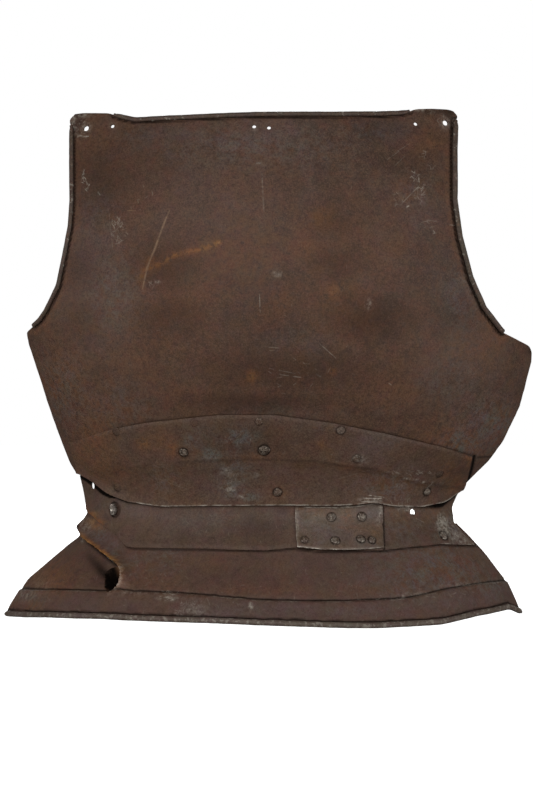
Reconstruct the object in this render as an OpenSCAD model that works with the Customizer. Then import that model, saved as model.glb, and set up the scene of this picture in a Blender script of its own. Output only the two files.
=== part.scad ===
// Backplate of plate armour, old, mended and altered in use.
// It stands upright on the turned lower edge of its skirt. +Z is up, the outer
// face of the shell looks towards -Y, and +X is to the right seen from outside.
// Lengths are in millimetres, angles in degrees.

/* [Sheet] */
// Thickness of the sheet iron
sheet_t = 1.3; // [1.1:0.1:1.5]
// How far the sides wrap round the wearer, against the measured shape
fullness = 1.0; // [0.9:0.05:1.1]
// Space left between two lapped plates
lap_gap = 0.3; // [0.3:0.05:0.5]

/* [Turned edges] */
// Inner radius of the turn along the neck
neck_turn_r = 0.9; // [0.8:0.1:1.2]
// Inner radius of the turn along the left arm
left_turn_r = 0.8; // [0.7:0.1:1.2]
// Inner radius of the turn along the right arm
right_turn_r = 1.3; // [0.9:0.1:1.5]
// Inner radius of the turn along the skirt
skirt_turn_r = 1.2; // [0.9:0.1:1.5]
// Play of each wire in its turn, on the radius
wire_play = 0.2; // [0.2:0.05:0.3]

/* [Rivets] */
// Diameter of an ordinary rivet head
head_d = 7; // [6:0.2:8]
// Height of an ordinary rivet head
head_h = 1.7; // [1:0.1:2.4]
// Diameter of a rivet's shank
shank_d = 3.2; // [2.6:0.2:3.6]
// Diameter of the larger, later rivet in the middle of the band
repair_head_d = 9.6; // [8:0.2:11]

/* [Belt rivet] */
// Width of the belt rivet's head
belt_head_d = 9; // [7:0.2:11]
// How far the belt rivet stands off the plate now that its strap is gone
belt_play = 2.4; // [1:0.1:3]
// Outer diameter of the washer behind it
washer_d = 9; // [8:0.2:10]

/* [Holes] */
// Diameter of the strap hole in each shoulder corner
corner_hole_d = 4; // [3:0.2:5]
// Diameter of the smaller holes beside them and at the middle of the neck
lace_hole_d = 3; // [2:0.2:3.6]
// Diameter of the empty belt-rivet hole on the right
belt_hole_d = 4; // [3:0.2:5]

/* [Hidden] */

// Moves the shell so that it stands at the origin, centred
seat = [0, -55.5, 1.3];
// Plane of symmetry of the shell
mid_x = -4;
// The sides close in as a superellipse of this power
bend = 2.2;
// Angle that each turned edge is rolled through
turn_angle = 285;
turn_steps = 8;
// How far the band and what lies below it step in, past the main plate's lower edge
step_in = sheet_t;

// --- shape of the body ---------------------------------------------------------
// Depth of the middle line behind the most forward plane, by height
mid_tab = [[-10, -19], [0, -14], [30, 7], [60, 29], [85, 42], [105, 40], [130, 29],
           [150, 21], [180, 11], [220, 3], [260, 0], [300, 2], [350, 11], [390, 24], [425, 37]];
// Half width of the body on the left, by height
left_tab = [[-10, 242], [0, 235], [28, 214], [54, 184], [67, 171], [79, 164], [87, 161],
            [102, 162], [120, 168], [133, 174], [147, 179], [171, 189], [190, 198],
            [214, 210], [240, 224], [260, 229], [300, 232], [350, 232], [425, 232]];
// Half width of the body on the right, by height
right_tab = [[-10, 243], [0, 238], [13, 233], [30, 224], [55, 206], [72, 187], [82, 176],
             [92, 171], [104, 177], [118, 188], [133, 203], [150, 215], [178, 228],
             [200, 236], [224, 238], [260, 238], [300, 236], [350, 234], [425, 232]];
// Depth that the sides reach when fully closed in, by height
wrap_tab = [[-10, 222], [0, 215], [30, 175], [60, 135], [85, 112], [105, 118], [130, 128],
            [150, 134], [180, 142], [220, 150], [260, 152], [300, 150], [350, 142], [425, 132]];

// Smooth curve through a table of [position, value]
function seg(t, tab) = max([for (i = [0 : len(tab) - 2]) if (i == 0 || t >= tab[i][0]) i]);
function slope(tab, i) =
    let (n = len(tab), a = max(i - 1, 0), b = min(i + 1, n - 1))
    (tab[b][1] - tab[a][1]) / (tab[b][0] - tab[a][0]);
function smooth(t, tab) =
    t <= tab[0][0] ? tab[0][1] : t >= tab[len(tab) - 1][0] ? tab[len(tab) - 1][1] :
    let (i = seg(t, tab), h = tab[i + 1][0] - tab[i][0], s = (t - tab[i][0]) / h,
         s2 = s * s, s3 = s2 * s)
    (2 * s3 - 3 * s2 + 1) * tab[i][1] + (s3 - 2 * s2 + s) * h * slope(tab, i)
    + (3 * s2 - 2 * s3) * tab[i + 1][1] + (s3 - s2) * h * slope(tab, i + 1);

// Depth of the body's surface at a width and a height
function body_y(x, z) =
    let (w = x - mid_x, s = min(abs(w) / smooth(z, w < 0 ? left_tab : right_tab), 0.99))
    smooth(z, mid_tab) + fullness * smooth(z, wrap_tab) * (1 - pow(1 - pow(s, bend), 1 / bend));
// Outward normal there
function body_n(x, z) =
    let (e = 0.4, v = [(body_y(x + e, z) - body_y(x - e, z)) / (2 * e), -1,
                       (body_y(x, z + e) - body_y(x, z - e)) / (2 * e)])
    v / norm(v);
// A point that stands off the body's surface by o, outwards
function on_body(x, z, o = 0) = [x, body_y(x, z), z] + o * body_n(x, z);

function mix(a, b, t) = a + (b - a) * t;
function ease(t) = let (c = min(max(t, 0), 1)) c * c * (3 - 2 * c);
function unit(v) = v / norm(v);
function span(a, b, n) = [for (i = [0 : n]) mix(a, b, i / n)];

// --- a sheet with turned edges -------------------------------------------------
// us and vs are the grid's columns and rows. x_of and z_of give a grid point's place,
// out_of and in_of its two offsets. Each turn is [first, last, radius] along the rim,
// which runs counter-clockwise seen from outside, from the lower left corner.
function rim(n, m) = concat([for (i = [0 : n - 1]) [i, 0]], [for (j = [1 : m - 1]) [n - 1, j]],
                            [for (i = [n - 2 : -1 : 0]) [i, m - 1]], [for (j = [m - 2 : -1 : 1]) [0, j]]);
function rim_right(n, m, j) = n - 1 + j;
function rim_top(n, m, i) = 2 * (n - 1) + (m - 1) - i;
function rim_left(n, m, j) = 2 * (n - 1) + 2 * (m - 1) - j;

// Frame of a turn at rim place k: [centre of its wire, outward normal, direction off the edge]
function turn_frame(k, run, edge, uvs, o_at) =
    let (p = o_at(edge[k]), a = o_at(edge[max(k - 1, run[0])]), b = o_at(edge[min(k + 1, run[1])]),
         nn = uvs(edge[k]), d = unit(cross(unit(b - a), nn)))
    [p + run[2] * nn, nn, d];
function turned(f, r, phi) = f[0] + r * (sin(phi) * f[2] - cos(phi) * f[1]);

function sheet(us, vs, x_of, z_of, out_of, in_of, runs) =
    let (n = len(us), m = len(vs),
         xz = [for (v = vs) [for (u = us) [x_of(u, v), z_of(u, v)]]],
         nrm = [for (row = xz) [for (p = row) body_n(p[0], p[1])]],
         outer = [for (j = [0 : m - 1]) [for (i = [0 : n - 1])
             on_body(xz[j][i][0], xz[j][i][1]) + out_of(xz[j][i][0], xz[j][i][1]) * nrm[j][i]]],
         inner = [for (j = [0 : m - 1]) [for (i = [0 : n - 1])
             on_body(xz[j][i][0], xz[j][i][1]) + in_of(xz[j][i][0], xz[j][i][1]) * nrm[j][i]]],
         edge = rim(n, m),
         o_at = function (e) outer[e[1]][e[0]],
         n_at = function (e) nrm[e[1]][e[0]],
         frames = [for (run = runs) [for (k = [run[0] : run[1]]) turn_frame(k, run, edge, n_at, o_at)]])
    [n, m, outer, inner, edge, runs, frames];

function tri(a, b, c, d) = [[a, b, c], [a, c, d]];

module draw_sheet(s) {
    n = s[0]; m = s[1]; edge = s[4]; runs = s[5]; frames = s[6];
    q = turn_steps;
    grid = n * m;
    first = [for (r = [0 : 1 : len(runs)]) 2 * grid + 2 * q *
             (r == 0 ? 0 : [for (t = [1 : r]) 1] * [for (t = [0 : r - 1]) runs[t][1] - runs[t][0] + 1])];
    pts = concat(
        [for (row = s[2]) for (p = row) p],
        [for (row = s[3]) for (p = row) p],
        [for (r = [0 : 1 : len(runs) - 1]) for (f = frames[r])
            for (p = concat([for (k = [1 : q]) turned(f, runs[r][2], turn_angle * k / q)],
                            [for (k = [q : -1 : 1]) turned(f, runs[r][2] + sheet_t, turn_angle * k / q)])) p]);
    o = function (e) e[1] * n + e[0];
    // Points across the edge at rim place k, from the outer face to the inner one
    across = function (k, r) r < 0 ? [o(edge[k]), grid + o(edge[k])] :
        concat([o(edge[k])], [for (t = [0 : 2 * q - 1]) first[r] + 2 * q * (k - runs[r][0]) + t],
               [grid + o(edge[k])]);
    run_of = function (k) let (hit = [for (r = [0 : 1 : len(runs) - 1]) if (k >= runs[r][0] && k < runs[r][1]) r])
        len(hit) ? hit[0] : -1;
    faces = concat(
        [for (j = [0 : m - 2]) for (i = [0 : n - 2])
            for (t = tri(j * n + i, (j + 1) * n + i, (j + 1) * n + i + 1, j * n + i + 1)) t],
        [for (j = [0 : m - 2]) for (i = [0 : n - 2])
            for (t = tri(grid + j * n + i, grid + j * n + i + 1, grid + (j + 1) * n + i + 1, grid + (j + 1) * n + i)) t],
        [for (k = [0 : len(edge) - 1])
            let (r = run_of(k), a = across(k, r), b = across((k + 1) % len(edge), r))
            for (c = [0 : len(a) - 2]) for (t = tri(a[c], b[c], b[c + 1], a[c + 1])) t],
        [for (r = [0 : 1 : len(runs) - 1]) for (end = [0, 1])
            let (a = across(runs[r][end], r), l = 2 * q + 1)
            for (c = [0 : q - 1])
                for (t = end == 0 ? tri(a[c], a[c + 1], a[l - c - 1], a[l - c])
                                  : tri(a[l - c], a[l - c - 1], a[c + 1], a[c])) t]);
    polyhedron(points = pts, faces = faces, convexity = 10);
}

// The wire that lies in turn r of a sheet
module draw_wire(s, r) {
    f = s[6][r];
    w = s[5][r][2] - wire_play;
    n = len(f);
    pts = [for (c = f) for (k = [0 : 7]) turned(c, w, 45 * k)];
    polyhedron(points = pts, faces = concat(
        [for (i = [0 : n - 2]) for (k = [0 : 7])
            for (t = tri(8 * i + k, 8 * i + (k + 1) % 8, 8 * i + 8 + (k + 1) % 8, 8 * i + 8 + k)) t],
        [for (k = [1 : 6]) [0, k + 1, k]],
        [for (k = [1 : 6]) [8 * n - 8, 8 * n - 8 + k, 8 * n - 8 + k + 1]]), convexity = 10);
}

// --- outlines of the plates ----------------------------------------------------
// Widths by height, and heights by width. The turned edges add their own width.
main_left = [[116, -163], [130, -166], [147, -172], [171, -180], [214, -193], [229, -197],
             [240, -197], [249, -185], [257, -179], [276, -169], [303, -163], [324, -159], [345, -158], [418, -160]];
main_right = [[112, 168], [116, 171], [133, 188], [150, 200], [178, 213], [202, 219], [216, 223],
              [224, 223], [229, 220], [231, 210], [240, 191], [259, 176], [282, 165], [315, 156],
              [345, 152], [388, 153], [420, 155]];
main_low = [[-165, 130], [-120, 131], [-83, 133], [-40, 135], [0, 136], [36, 135], [60, 131],
            [92, 127], [112, 121], [125, 117], [142, 115], [160, 116], [171, 116]];
main_top = [[-162, 417], [-150, 418], [-129, 417], [-125, 414], [-107, 410], [-60, 412], [-8, 414],
            [60, 414], [90, 415], [115, 416], [119, 420], [135, 422], [150, 422], [156, 420]];

band_top = [[-170, 148], [-163, 147], [-128, 158], [-97, 164], [-38, 170], [7, 170], [51, 164],
            [96, 155], [143, 144], [177, 134]];
band_low = [[-158, 119], [-146, 112], [-134, 103], [-117, 97], [-89, 94], [-38, 96], [22, 97],
            [67, 94], [82, 97], [107, 94], [129, 93], [149, 97], [160, 104], [171, 111]];
band_left = [[0, -157], [0.5, -161], [1, -164]];
band_right = [[0, 167], [0.4, 168], [0.6, 170], [1, 174]];

waist_top = [[-158, 118], [-100, 119], [0, 120], [100, 118], [133, 112], [166, 110]];
waist_low = [[-153, 87], [-128, 74], [-116, 62], [-51, 62], [1, 61], [24, 63], [94, 60],
             [116, 62], [146, 64], [175, 62]];
waist_left = [[0, -153], [0.3, -154], [1, -158]];
waist_right = [[0, 174], [0.15, 163], [0.35, 156], [0.6, 156], [1, 164]];

patch_low = [[25, 63], [46, 60], [71, 60], [96, 61]];

skirt_top = [[-161, 89], [-145, 86], [-131, 83], [-119, 83], [-105, 88], [-60, 92], [60, 92],
             [110, 90], [150, 84], [160, 80]];
skirt_low = [[-224, 2], [-180, 7], [-133, 9], [-50, 8], [31, 5], [86, 2], [142, 2], [172, 6], [204, 9], [216, 3]];
skirt_left = [[0, -222], [0.34, -204], [0.62, -174], [0.78, -161], [0.88, -161], [1, -154]];
skirt_right = [[0, 217], [0.12, 214], [0.34, 205], [0.67, 187], [0.88, 170], [1, 160]];

// The main plate's grid
main_u = concat([0, 0.012, 0.035, 0.068, 0.1], span(0.112, 0.874, 32), [0.888, 0.92, 0.95, 0.98, 1]);
main_v = [0, 0.025, 0.055, 0.085, 0.115, 0.15, 0.19, 0.23, 0.27, 0.31, 0.345, 0.362, 0.372, 0.379,
          0.385, 0.392, 0.4, 0.413, 0.43, 0.455, 0.49, 0.53, 0.575, 0.62, 0.67, 0.72, 0.78, 0.84,
          0.9, 0.95, 0.98, 1];
main_neck = [5, 37];
main_arm_left = 14;
main_arm_right = 13;

function main_x(u, v) = mix(lookup(mix(130, 417, v), main_left), lookup(mix(116, 419, v), main_right), u);
function main_z(u, v) = let (x = main_x(u, v)) mix(lookup(x, main_low), lookup(x, main_top), v);
main_sheet = let (n = len(main_u), m = len(main_v))
    sheet(main_u, main_v, function (u, v) main_x(u, v), function (u, v) main_z(u, v),
          function (x, z) 0, function (x, z) -sheet_t,
          [[rim_right(n, m, main_arm_right), rim_right(n, m, m - 1), right_turn_r],
           [rim_top(n, m, main_neck[1]), rim_top(n, m, main_neck[0]), neck_turn_r],
           [rim_left(n, m, m - 1), rim_left(n, m, main_arm_left), left_turn_r]]);

// How far the band has stepped in at a place below the main plate's lower edge
function stepped(x, z) = step_in * ease((lookup(x, main_low) - 0.8 - z) / 3);

edge_u = concat([0, 0.015, 0.04, 0.07], span(0.1, 0.9, 28), [0.93, 0.96, 0.985, 1]);
function band_x(u, v) = mix(lookup(v, band_left), lookup(v, band_right), u);
function band_z(u, v) =
    let (x = band_x(u, v), lo = lookup(x, band_low), hi = lookup(x, band_top),
         st = max(lookup(x, main_low), lo + 5))
    v < 0.4 ? mix(lo, st - 4, v / 0.4) : v < 0.6 ? mix(st - 4, st - 0.6, (v - 0.4) / 0.2)
            : mix(st - 0.6, hi, (v - 0.6) / 0.4);
band_sheet = sheet(edge_u, [0, 0.13, 0.26, 0.4, 0.47, 0.53, 0.6, 0.72, 0.86, 1],
    function (u, v) band_x(u, v), function (u, v) band_z(u, v),
    function (x, z) lap_gap + sheet_t - stepped(x, z), function (x, z) lap_gap - stepped(x, z), []);

waist_out = -step_in;
function waist_x(u, v) = mix(lookup(v, waist_left), lookup(v, waist_right), u);
function waist_z(u, v) = let (x = waist_x(u, v)) mix(lookup(x, waist_low), lookup(x, waist_top), v);
waist_sheet = sheet(edge_u, [0, 0.12, 0.25, 0.4, 0.55, 0.7, 0.85, 1],
    function (u, v) waist_x(u, v), function (u, v) waist_z(u, v),
    function (x, z) waist_out, function (x, z) waist_out - sheet_t, []);

patch_out = waist_out + lap_gap + 0.2 + sheet_t;
function patch_x(u, v) = mix(mix(25, 23, v), 96, u);
function patch_z(u, v) = let (x = patch_x(u, v)) mix(lookup(x, patch_low), lookup(x, band_low) - 1.5, v);
patch_sheet = sheet(span(0, 1, 10), span(0, 1, 6),
    function (u, v) patch_x(u, v), function (u, v) patch_z(u, v),
    function (x, z) patch_out, function (x, z) patch_out - sheet_t, []);

skirt_out = waist_out - sheet_t - lap_gap - 0.1;
skirt_u = concat([0, 0.02, 0.05, 0.08], span(0.11, 0.89, 28), [0.92, 0.95, 0.98, 1]);
function skirt_x(u, v) = mix(lookup(v, skirt_left), lookup(v, skirt_right), u);
function skirt_z(u, v) = let (x = skirt_x(u, v)) mix(lookup(x, skirt_low), lookup(x, skirt_top), v);
skirt_sheet = sheet(skirt_u, [0, 0.05, 0.12, 0.2, 0.3, 0.4, 0.5, 0.6, 0.7, 0.8, 0.9, 1],
    function (u, v) skirt_x(u, v), function (u, v) skirt_z(u, v),
    function (x, z) skirt_out, function (x, z) skirt_out - sheet_t,
    [[0, len(skirt_u) - 1, skirt_turn_r]]);

// The tear in the skirt, seen from outside
tear = [[-175, 73], [-157, 68], [-148, 63], [-138, 56], [-127, 50], [-119, 45], [-120, 36],
        [-130, 27], [-126, 37], [-128, 43], [-138, 50], [-149, 57], [-160, 62], [-176, 66]];

// --- fastenings ----------------------------------------------------------------
// Stands its children on the body, with +Z along the outward normal
module on(x, z) {
    v = body_n(x, z);
    translate(on_body(x, z)) rotate([0, acos(v[2]), atan2(v[1], v[0])]) children();
}

// A hole through every plate at a place
module hole(x, z, d) { on(x, z) translate([0, 0, -9]) cylinder(h = 14, d = d, $fn = 48); }

// A rivet whose head sits at offset hi and whose peened end sits at offset lo
module rivet(x, z, hi, lo, d = head_d, h = head_h, tail_d = 6, tail_h = 1.1) {
    on(x, z) rotate_extrude($fn = 48) polygon([[0, lo - tail_h], [tail_d * 0.28, lo - tail_h * 0.95],
        [tail_d * 0.44, lo - tail_h * 0.6], [tail_d / 2, lo], [shank_d / 2 - 0.03, lo],
        [shank_d / 2 - 0.03, hi], [d / 2, hi], [d * 0.49, hi + h * 0.2], [d * 0.44, hi + h * 0.52],
        [d * 0.33, hi + h * 0.82], [d * 0.17, hi + h * 0.97], [0, hi + h]]);
}

band_out = lap_gap + sheet_t;
band_stepped = band_out - step_in;
waist_in = waist_out - sheet_t;
skirt_in = skirt_out - sheet_t;

upper_rivets = [[-122, 157], [-58, 164], [-6, 165], [60, 158]];
middle_rivets = [[-67, 140], [73, 135], [142, 122]];
repair_rivet = [-2, 142];
lower_rivets = [[-123, 110], [9, 107], [133, 106]];
patch_upper = [[53, 86], [78, 86]];
patch_lower = [[31, 68], [56, 67], [77, 68], [86, 67]];
flush_rivets = [[-29, 86], [-45, 68]];
corner_rivet = [148, 70];
belt_at = [-126, 91];
belt_empty = [122, 89];
corner_holes = [[-148, 405], [147, 410]];
lace_holes = [[-126, 406], [122, 408], [-10, 404], [2, 403]];

module rivet_holes(list) { for (p = list) hole(p[0], p[1], shank_d); }

// --- the pieces ----------------------------------------------------------------
module placed() { translate(seat) children(); }

module main_plate() {
    color([0.30, 0.24, 0.20]) placed() difference() {
        draw_sheet(main_sheet);
        for (p = corner_holes) hole(p[0], p[1], corner_hole_d);
        for (p = lace_holes) hole(p[0], p[1], lace_hole_d);
        rivet_holes(upper_rivets);
        rivet_holes(middle_rivets);
        rivet_holes([repair_rivet]);
    }
}
module neck_edge_wire() { color([0.22, 0.19, 0.17]) placed() draw_wire(main_sheet, 1); }
module left_arm_edge_wire() { color([0.22, 0.19, 0.17]) placed() draw_wire(main_sheet, 2); }
module right_arm_edge_wire() { color([0.22, 0.19, 0.17]) placed() draw_wire(main_sheet, 0); }

module waist_band() {
    color([0.34, 0.28, 0.25]) placed() difference() {
        draw_sheet(band_sheet);
        rivet_holes(upper_rivets);
        rivet_holes(middle_rivets);
        rivet_holes([repair_rivet]);
        rivet_holes(lower_rivets);
    }
}
module band_upper_rivets() {
    color([0.26, 0.22, 0.20]) placed() for (p = upper_rivets) rivet(p[0], p[1], band_out, -sheet_t);
}
module band_middle_rivets() {
    color([0.26, 0.22, 0.20]) placed() for (p = middle_rivets) rivet(p[0], p[1], band_out, -sheet_t);
}
module band_repair_rivet() {
    color([0.24, 0.21, 0.19]) placed()
        rivet(repair_rivet[0], repair_rivet[1], band_out, -sheet_t, repair_head_d, 2.4, 7, 1.4);
}
module band_lower_rivets() {
    color([0.28, 0.22, 0.18]) placed() for (p = lower_rivets) rivet(p[0], p[1], band_stepped, waist_in);
}

module waist_plate() {
    color([0.31, 0.27, 0.25]) placed() difference() {
        draw_sheet(waist_sheet);
        rivet_holes(lower_rivets);
        rivet_holes(patch_upper);
        rivet_holes(patch_lower);
        rivet_holes(flush_rivets);
        rivet_holes([corner_rivet]);
        hole(belt_at[0], belt_at[1], shank_d);
        hole(belt_empty[0], belt_empty[1], belt_hole_d);
    }
}
module repair_patch() {
    color([0.35, 0.33, 0.33]) placed() difference() {
        draw_sheet(patch_sheet);
        rivet_holes(patch_upper);
        rivet_holes(patch_lower);
    }
}
module patch_upper_rivets() {
    color([0.27, 0.23, 0.21]) placed() for (p = patch_upper) rivet(p[0], p[1], patch_out, skirt_in, 6.4, 1.3);
}
module patch_lower_rivets() {
    color([0.27, 0.23, 0.21]) placed() for (p = patch_lower) rivet(p[0], p[1], patch_out, skirt_in, 5.8, 1.2, 5.4);
}

module skirt_plate() {
    color([0.30, 0.24, 0.19]) placed() difference() {
        draw_sheet(skirt_sheet);
        translate([0, 150, 0]) rotate([90, 0, 0]) linear_extrude(height = 160) polygon(tear);
        rivet_holes(patch_upper);
        rivet_holes(patch_lower);
        rivet_holes(flush_rivets);
        rivet_holes([corner_rivet]);
    }
}
module skirt_edge_wire() { color([0.22, 0.19, 0.17]) placed() draw_wire(skirt_sheet, 0); }
module waist_skirt_rivets() {
    color([0.29, 0.25, 0.23]) placed() for (p = flush_rivets) rivet(p[0], p[1], waist_out, skirt_in, 6, 0.5);
}
module skirt_corner_rivet() {
    color([0.29, 0.25, 0.23]) placed() rivet(corner_rivet[0], corner_rivet[1], waist_out, skirt_in, 7.4, 1.5);
}

// The belt rivet stands off the plate by belt_play. Its washer turns on the shank.
module belt_rivet() {
    d = shank_d / 2 - 0.06;
    hi = waist_out + belt_play;
    lo = waist_in - 1.5;
    color([0.42, 0.38, 0.34]) placed() on(belt_at[0], belt_at[1]) rotate_extrude($fn = 48)
        polygon([[0, lo - 1.5], [1.4, lo - 1.4], [2.4, lo - 0.9], [3, lo], [d, lo], [d, hi],
                 [belt_head_d / 2, hi], [belt_head_d * 0.49, hi + 0.5], [belt_head_d * 0.42, hi + 1.3],
                 [belt_head_d * 0.29, hi + 2], [belt_head_d * 0.13, hi + 2.4], [0, hi + 2.5]]);
}
module belt_washer() {
    color([0.34, 0.31, 0.28]) placed() on(belt_at[0], belt_at[1])
        translate([0, 0, waist_in - 1.4]) difference() {
            cylinder(h = 1, d = washer_d, $fn = 48);
            translate([0, 0, -1]) cylinder(h = 3, d = shank_d, $fn = 48);
        }
}

main_plate();
neck_edge_wire();
left_arm_edge_wire();
right_arm_edge_wire();
waist_band();
band_upper_rivets();
band_middle_rivets();
band_repair_rivet();
band_lower_rivets();
waist_plate();
repair_patch();
patch_upper_rivets();
patch_lower_rivets();
skirt_plate();
skirt_edge_wire();
waist_skirt_rivets();
skirt_corner_rivet();
belt_rivet();
belt_washer();
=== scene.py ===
"""Looks of the iron backplate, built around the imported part. Lengths in the tables are
millimetres in the drawing's own frame; seat() moves them into the row frame, in metres."""

import math

import bpy
import numpy as np
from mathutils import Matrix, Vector
from mathutils.geometry import delaunay_2d_cdt


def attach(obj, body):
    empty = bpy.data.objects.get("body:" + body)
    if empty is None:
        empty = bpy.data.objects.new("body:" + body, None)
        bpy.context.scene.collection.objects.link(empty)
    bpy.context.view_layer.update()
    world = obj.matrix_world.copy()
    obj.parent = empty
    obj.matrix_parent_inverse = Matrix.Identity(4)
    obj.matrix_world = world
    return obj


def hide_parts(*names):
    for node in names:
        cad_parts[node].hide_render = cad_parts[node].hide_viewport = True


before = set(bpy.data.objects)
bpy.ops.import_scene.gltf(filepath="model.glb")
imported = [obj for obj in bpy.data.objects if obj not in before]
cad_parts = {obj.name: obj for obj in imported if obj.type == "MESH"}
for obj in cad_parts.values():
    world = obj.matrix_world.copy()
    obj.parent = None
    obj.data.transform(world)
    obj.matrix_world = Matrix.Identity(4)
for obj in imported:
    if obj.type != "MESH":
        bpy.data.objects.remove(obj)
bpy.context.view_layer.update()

SEAT = np.array([0.0, -55.5, 1.3])
T = 1.3  # sheet
GAP = 0.3  # between two lapped plates
MID_X = -4.0
BEND = 2.2

# --- shape of the body, as in the part's source --------------------------------------
MID = [[-10, -19], [0, -14], [30, 7], [60, 29], [85, 42], [105, 40], [130, 29], [150, 21], [180, 11],
       [220, 3], [260, 0], [300, 2], [350, 11], [390, 24], [425, 37]]
LEFT = [[-10, 242], [0, 235], [28, 214], [54, 184], [67, 171], [79, 164], [87, 161], [102, 162], [120, 168],
        [133, 174], [147, 179], [171, 189], [190, 198], [214, 210], [240, 224], [260, 229], [300, 232],
        [350, 232], [425, 232]]
RIGHT = [[-10, 243], [0, 238], [13, 233], [30, 224], [55, 206], [72, 187], [82, 176], [92, 171], [104, 177],
         [118, 188], [133, 203], [150, 215], [178, 228], [200, 236], [224, 238], [260, 238], [300, 236],
         [350, 234], [425, 232]]
WRAP = [[-10, 222], [0, 215], [30, 175], [60, 135], [85, 112], [105, 118], [130, 128], [150, 134],
        [180, 142], [220, 150], [260, 152], [300, 150], [350, 142], [425, 132]]


def curve(t, tab):
    """Smooth curve through a table of [position, value]."""
    tab = np.asarray(tab, float)
    X, Y = tab[:, 0], tab[:, 1]
    n = len(X)
    t = np.clip(t, X[0], X[-1])
    k = np.clip(np.searchsorted(X, t, side="right") - 1, 0, n - 2)
    a, b = np.maximum(np.arange(n) - 1, 0), np.minimum(np.arange(n) + 1, n - 1)
    sl = (Y[b] - Y[a]) / (X[b] - X[a])
    h = X[k + 1] - X[k]
    s = (t - X[k]) / h
    s2, s3 = s * s, s * s * s
    return ((2 * s3 - 3 * s2 + 1) * Y[k] + (s3 - 2 * s2 + s) * h * sl[k]
            + (3 * s2 - 2 * s3) * Y[k + 1] + (s3 - s2) * h * sl[k + 1])


def line(t, tab):
    """Straight runs between the points of a table."""
    tab = np.asarray(tab, float)
    return np.interp(t, tab[:, 0], tab[:, 1])


def depth(x, z):
    w = x - MID_X
    half = np.where(w < 0, curve(z, LEFT), curve(z, RIGHT))
    s = np.minimum(np.abs(w) / half, 0.99)
    return curve(z, MID) + curve(z, WRAP) * (1 - (1 - s ** BEND) ** (1 / BEND))


def normal(x, z):
    e = 0.4
    v = np.stack([(depth(x + e, z) - depth(x - e, z)) / (2 * e), -np.ones_like(x),
                  (depth(x, z + e) - depth(x, z - e)) / (2 * e)], -1)
    return v / np.linalg.norm(v, axis=-1, keepdims=True)


def on_body(x, z, o):
    x, z = np.asarray(x, float), np.asarray(z, float)
    o = np.broadcast_to(np.asarray(o, float), x.shape)
    return np.stack([x, depth(x, z), z], -1) + o[..., None] * normal(x, z)


def seat(p):
    return (np.asarray(p) + SEAT) / 1000


def ease(t):
    t = np.clip(t, 0, 1)
    return t * t * (3 - 2 * t)


def mix(a, b, t):
    return a + (b - a) * t


_lattice = {}


def noise(x, z, cell, seed):
    """Smooth noise from -1 to 1 with bumps about cell wide."""
    if seed not in _lattice:
        _lattice[seed] = np.random.RandomState(seed).rand(64, 64) * 2 - 1
    tab = _lattice[seed]
    gx, gz = np.asarray(x) / cell + 4096.37, np.asarray(z) / cell + 4096.71
    i, j = np.floor(gx).astype(int), np.floor(gz).astype(int)
    u, v = gx - i, gz - j
    u, v = u * u * u * (u * (u * 6 - 15) + 10), v * v * v * (v * (v * 6 - 15) + 10)
    a, b = tab[i % 64, j % 64], tab[(i + 1) % 64, j % 64]
    c, d = tab[i % 64, (j + 1) % 64], tab[(i + 1) % 64, (j + 1) % 64]
    return mix(mix(a, b, u), mix(c, d, u), v)


def blobs(x, z, table):
    """Soft ellipses: each row is x, z, radius across, radius up, strength."""
    out = np.zeros_like(x)
    for cx, cz, rx, rz, a in table:
        out = np.maximum(out, a * np.exp(-(((x - cx) / rx) ** 2 + ((z - cz) / rz) ** 2)))
    return out


# Dents and swellings of the hammered sheets: x, z, radius across, radius up, height
DENTS = [[-72, 252, 30, 22, -0.7], [58, 212, 36, 24, -0.6], [108, 300, 24, 34, 0.5], [-20, 330, 42, 26, 0.4],
         [30, 372, 30, 16, -0.35], [-128, 300, 18, 30, -0.5], [-118, 222, 26, 20, 0.5], [142, 232, 24, 18, -0.5],
         [8, 180, 50, 14, -0.4], [-60, 142, 24, 12, -0.35], [44, 122, 26, 10, -0.3], [-18, 108, 20, 8, 0.3],
         [100, 138, 20, 12, 0.3], [-96, 30, 22, 14, 0.5], [20, 44, 40, 16, -0.4], [120, 40, 26, 18, 0.5],
         [-60, 80, 24, 9, -0.3], [10, 84, 30, 10, 0.25]]


def relief(x, z):
    """How far the hammered surface stands off the smooth body, the same for lapped plates."""
    r = 0.30 * noise(x, z, 38, 1) + 0.17 * noise(x, z, 19, 2) + 0.06 * noise(x, z, 9, 3)
    for cx, cz, rx, rz, a in DENTS:
        r = r + a * np.exp(-(((x - cx) / rx) ** 2 + ((z - cz) / rz) ** 2))
    ridge = np.exp(-((x - MID_X) / 5.0) ** 2) * ease((z - 225) / 40) * ease((392 - z) / 30)
    return r + 0.22 * ridge


def skin(x, z):
    """Fine unevenness of a single face: hammer facets and pitting."""
    return 0.035 * noise(x, z, 4.2, 4) + 0.02 * noise(x, z, 2.1, 5)


# --- cutting a plate out of the body's surface ----------------------------------------
def inside(x, z, poly):
    res = np.zeros(len(x), bool)
    n = len(poly)
    for k in range(n):
        x1, z1 = poly[k - 1]
        x2, z2 = poly[k]
        if z1 == z2:
            continue
        c = ((z1 > z) != (z2 > z)) & (x < (x2 - x1) * (z - z1) / (z2 - z1) + x1)
        res ^= c
    return res


def seg_dist(x, z, a, b):
    """Distance to the stretch a-b and how far along it, 0 to 1."""
    d = np.subtract(b, a)
    t = np.clip(((x - a[0]) * d[0] + (z - a[1]) * d[1]) / max(d @ d, 1e-9), 0, 1)
    return np.hypot(x - a[0] - t * d[0], z - a[1] - t * d[1]), t


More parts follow.
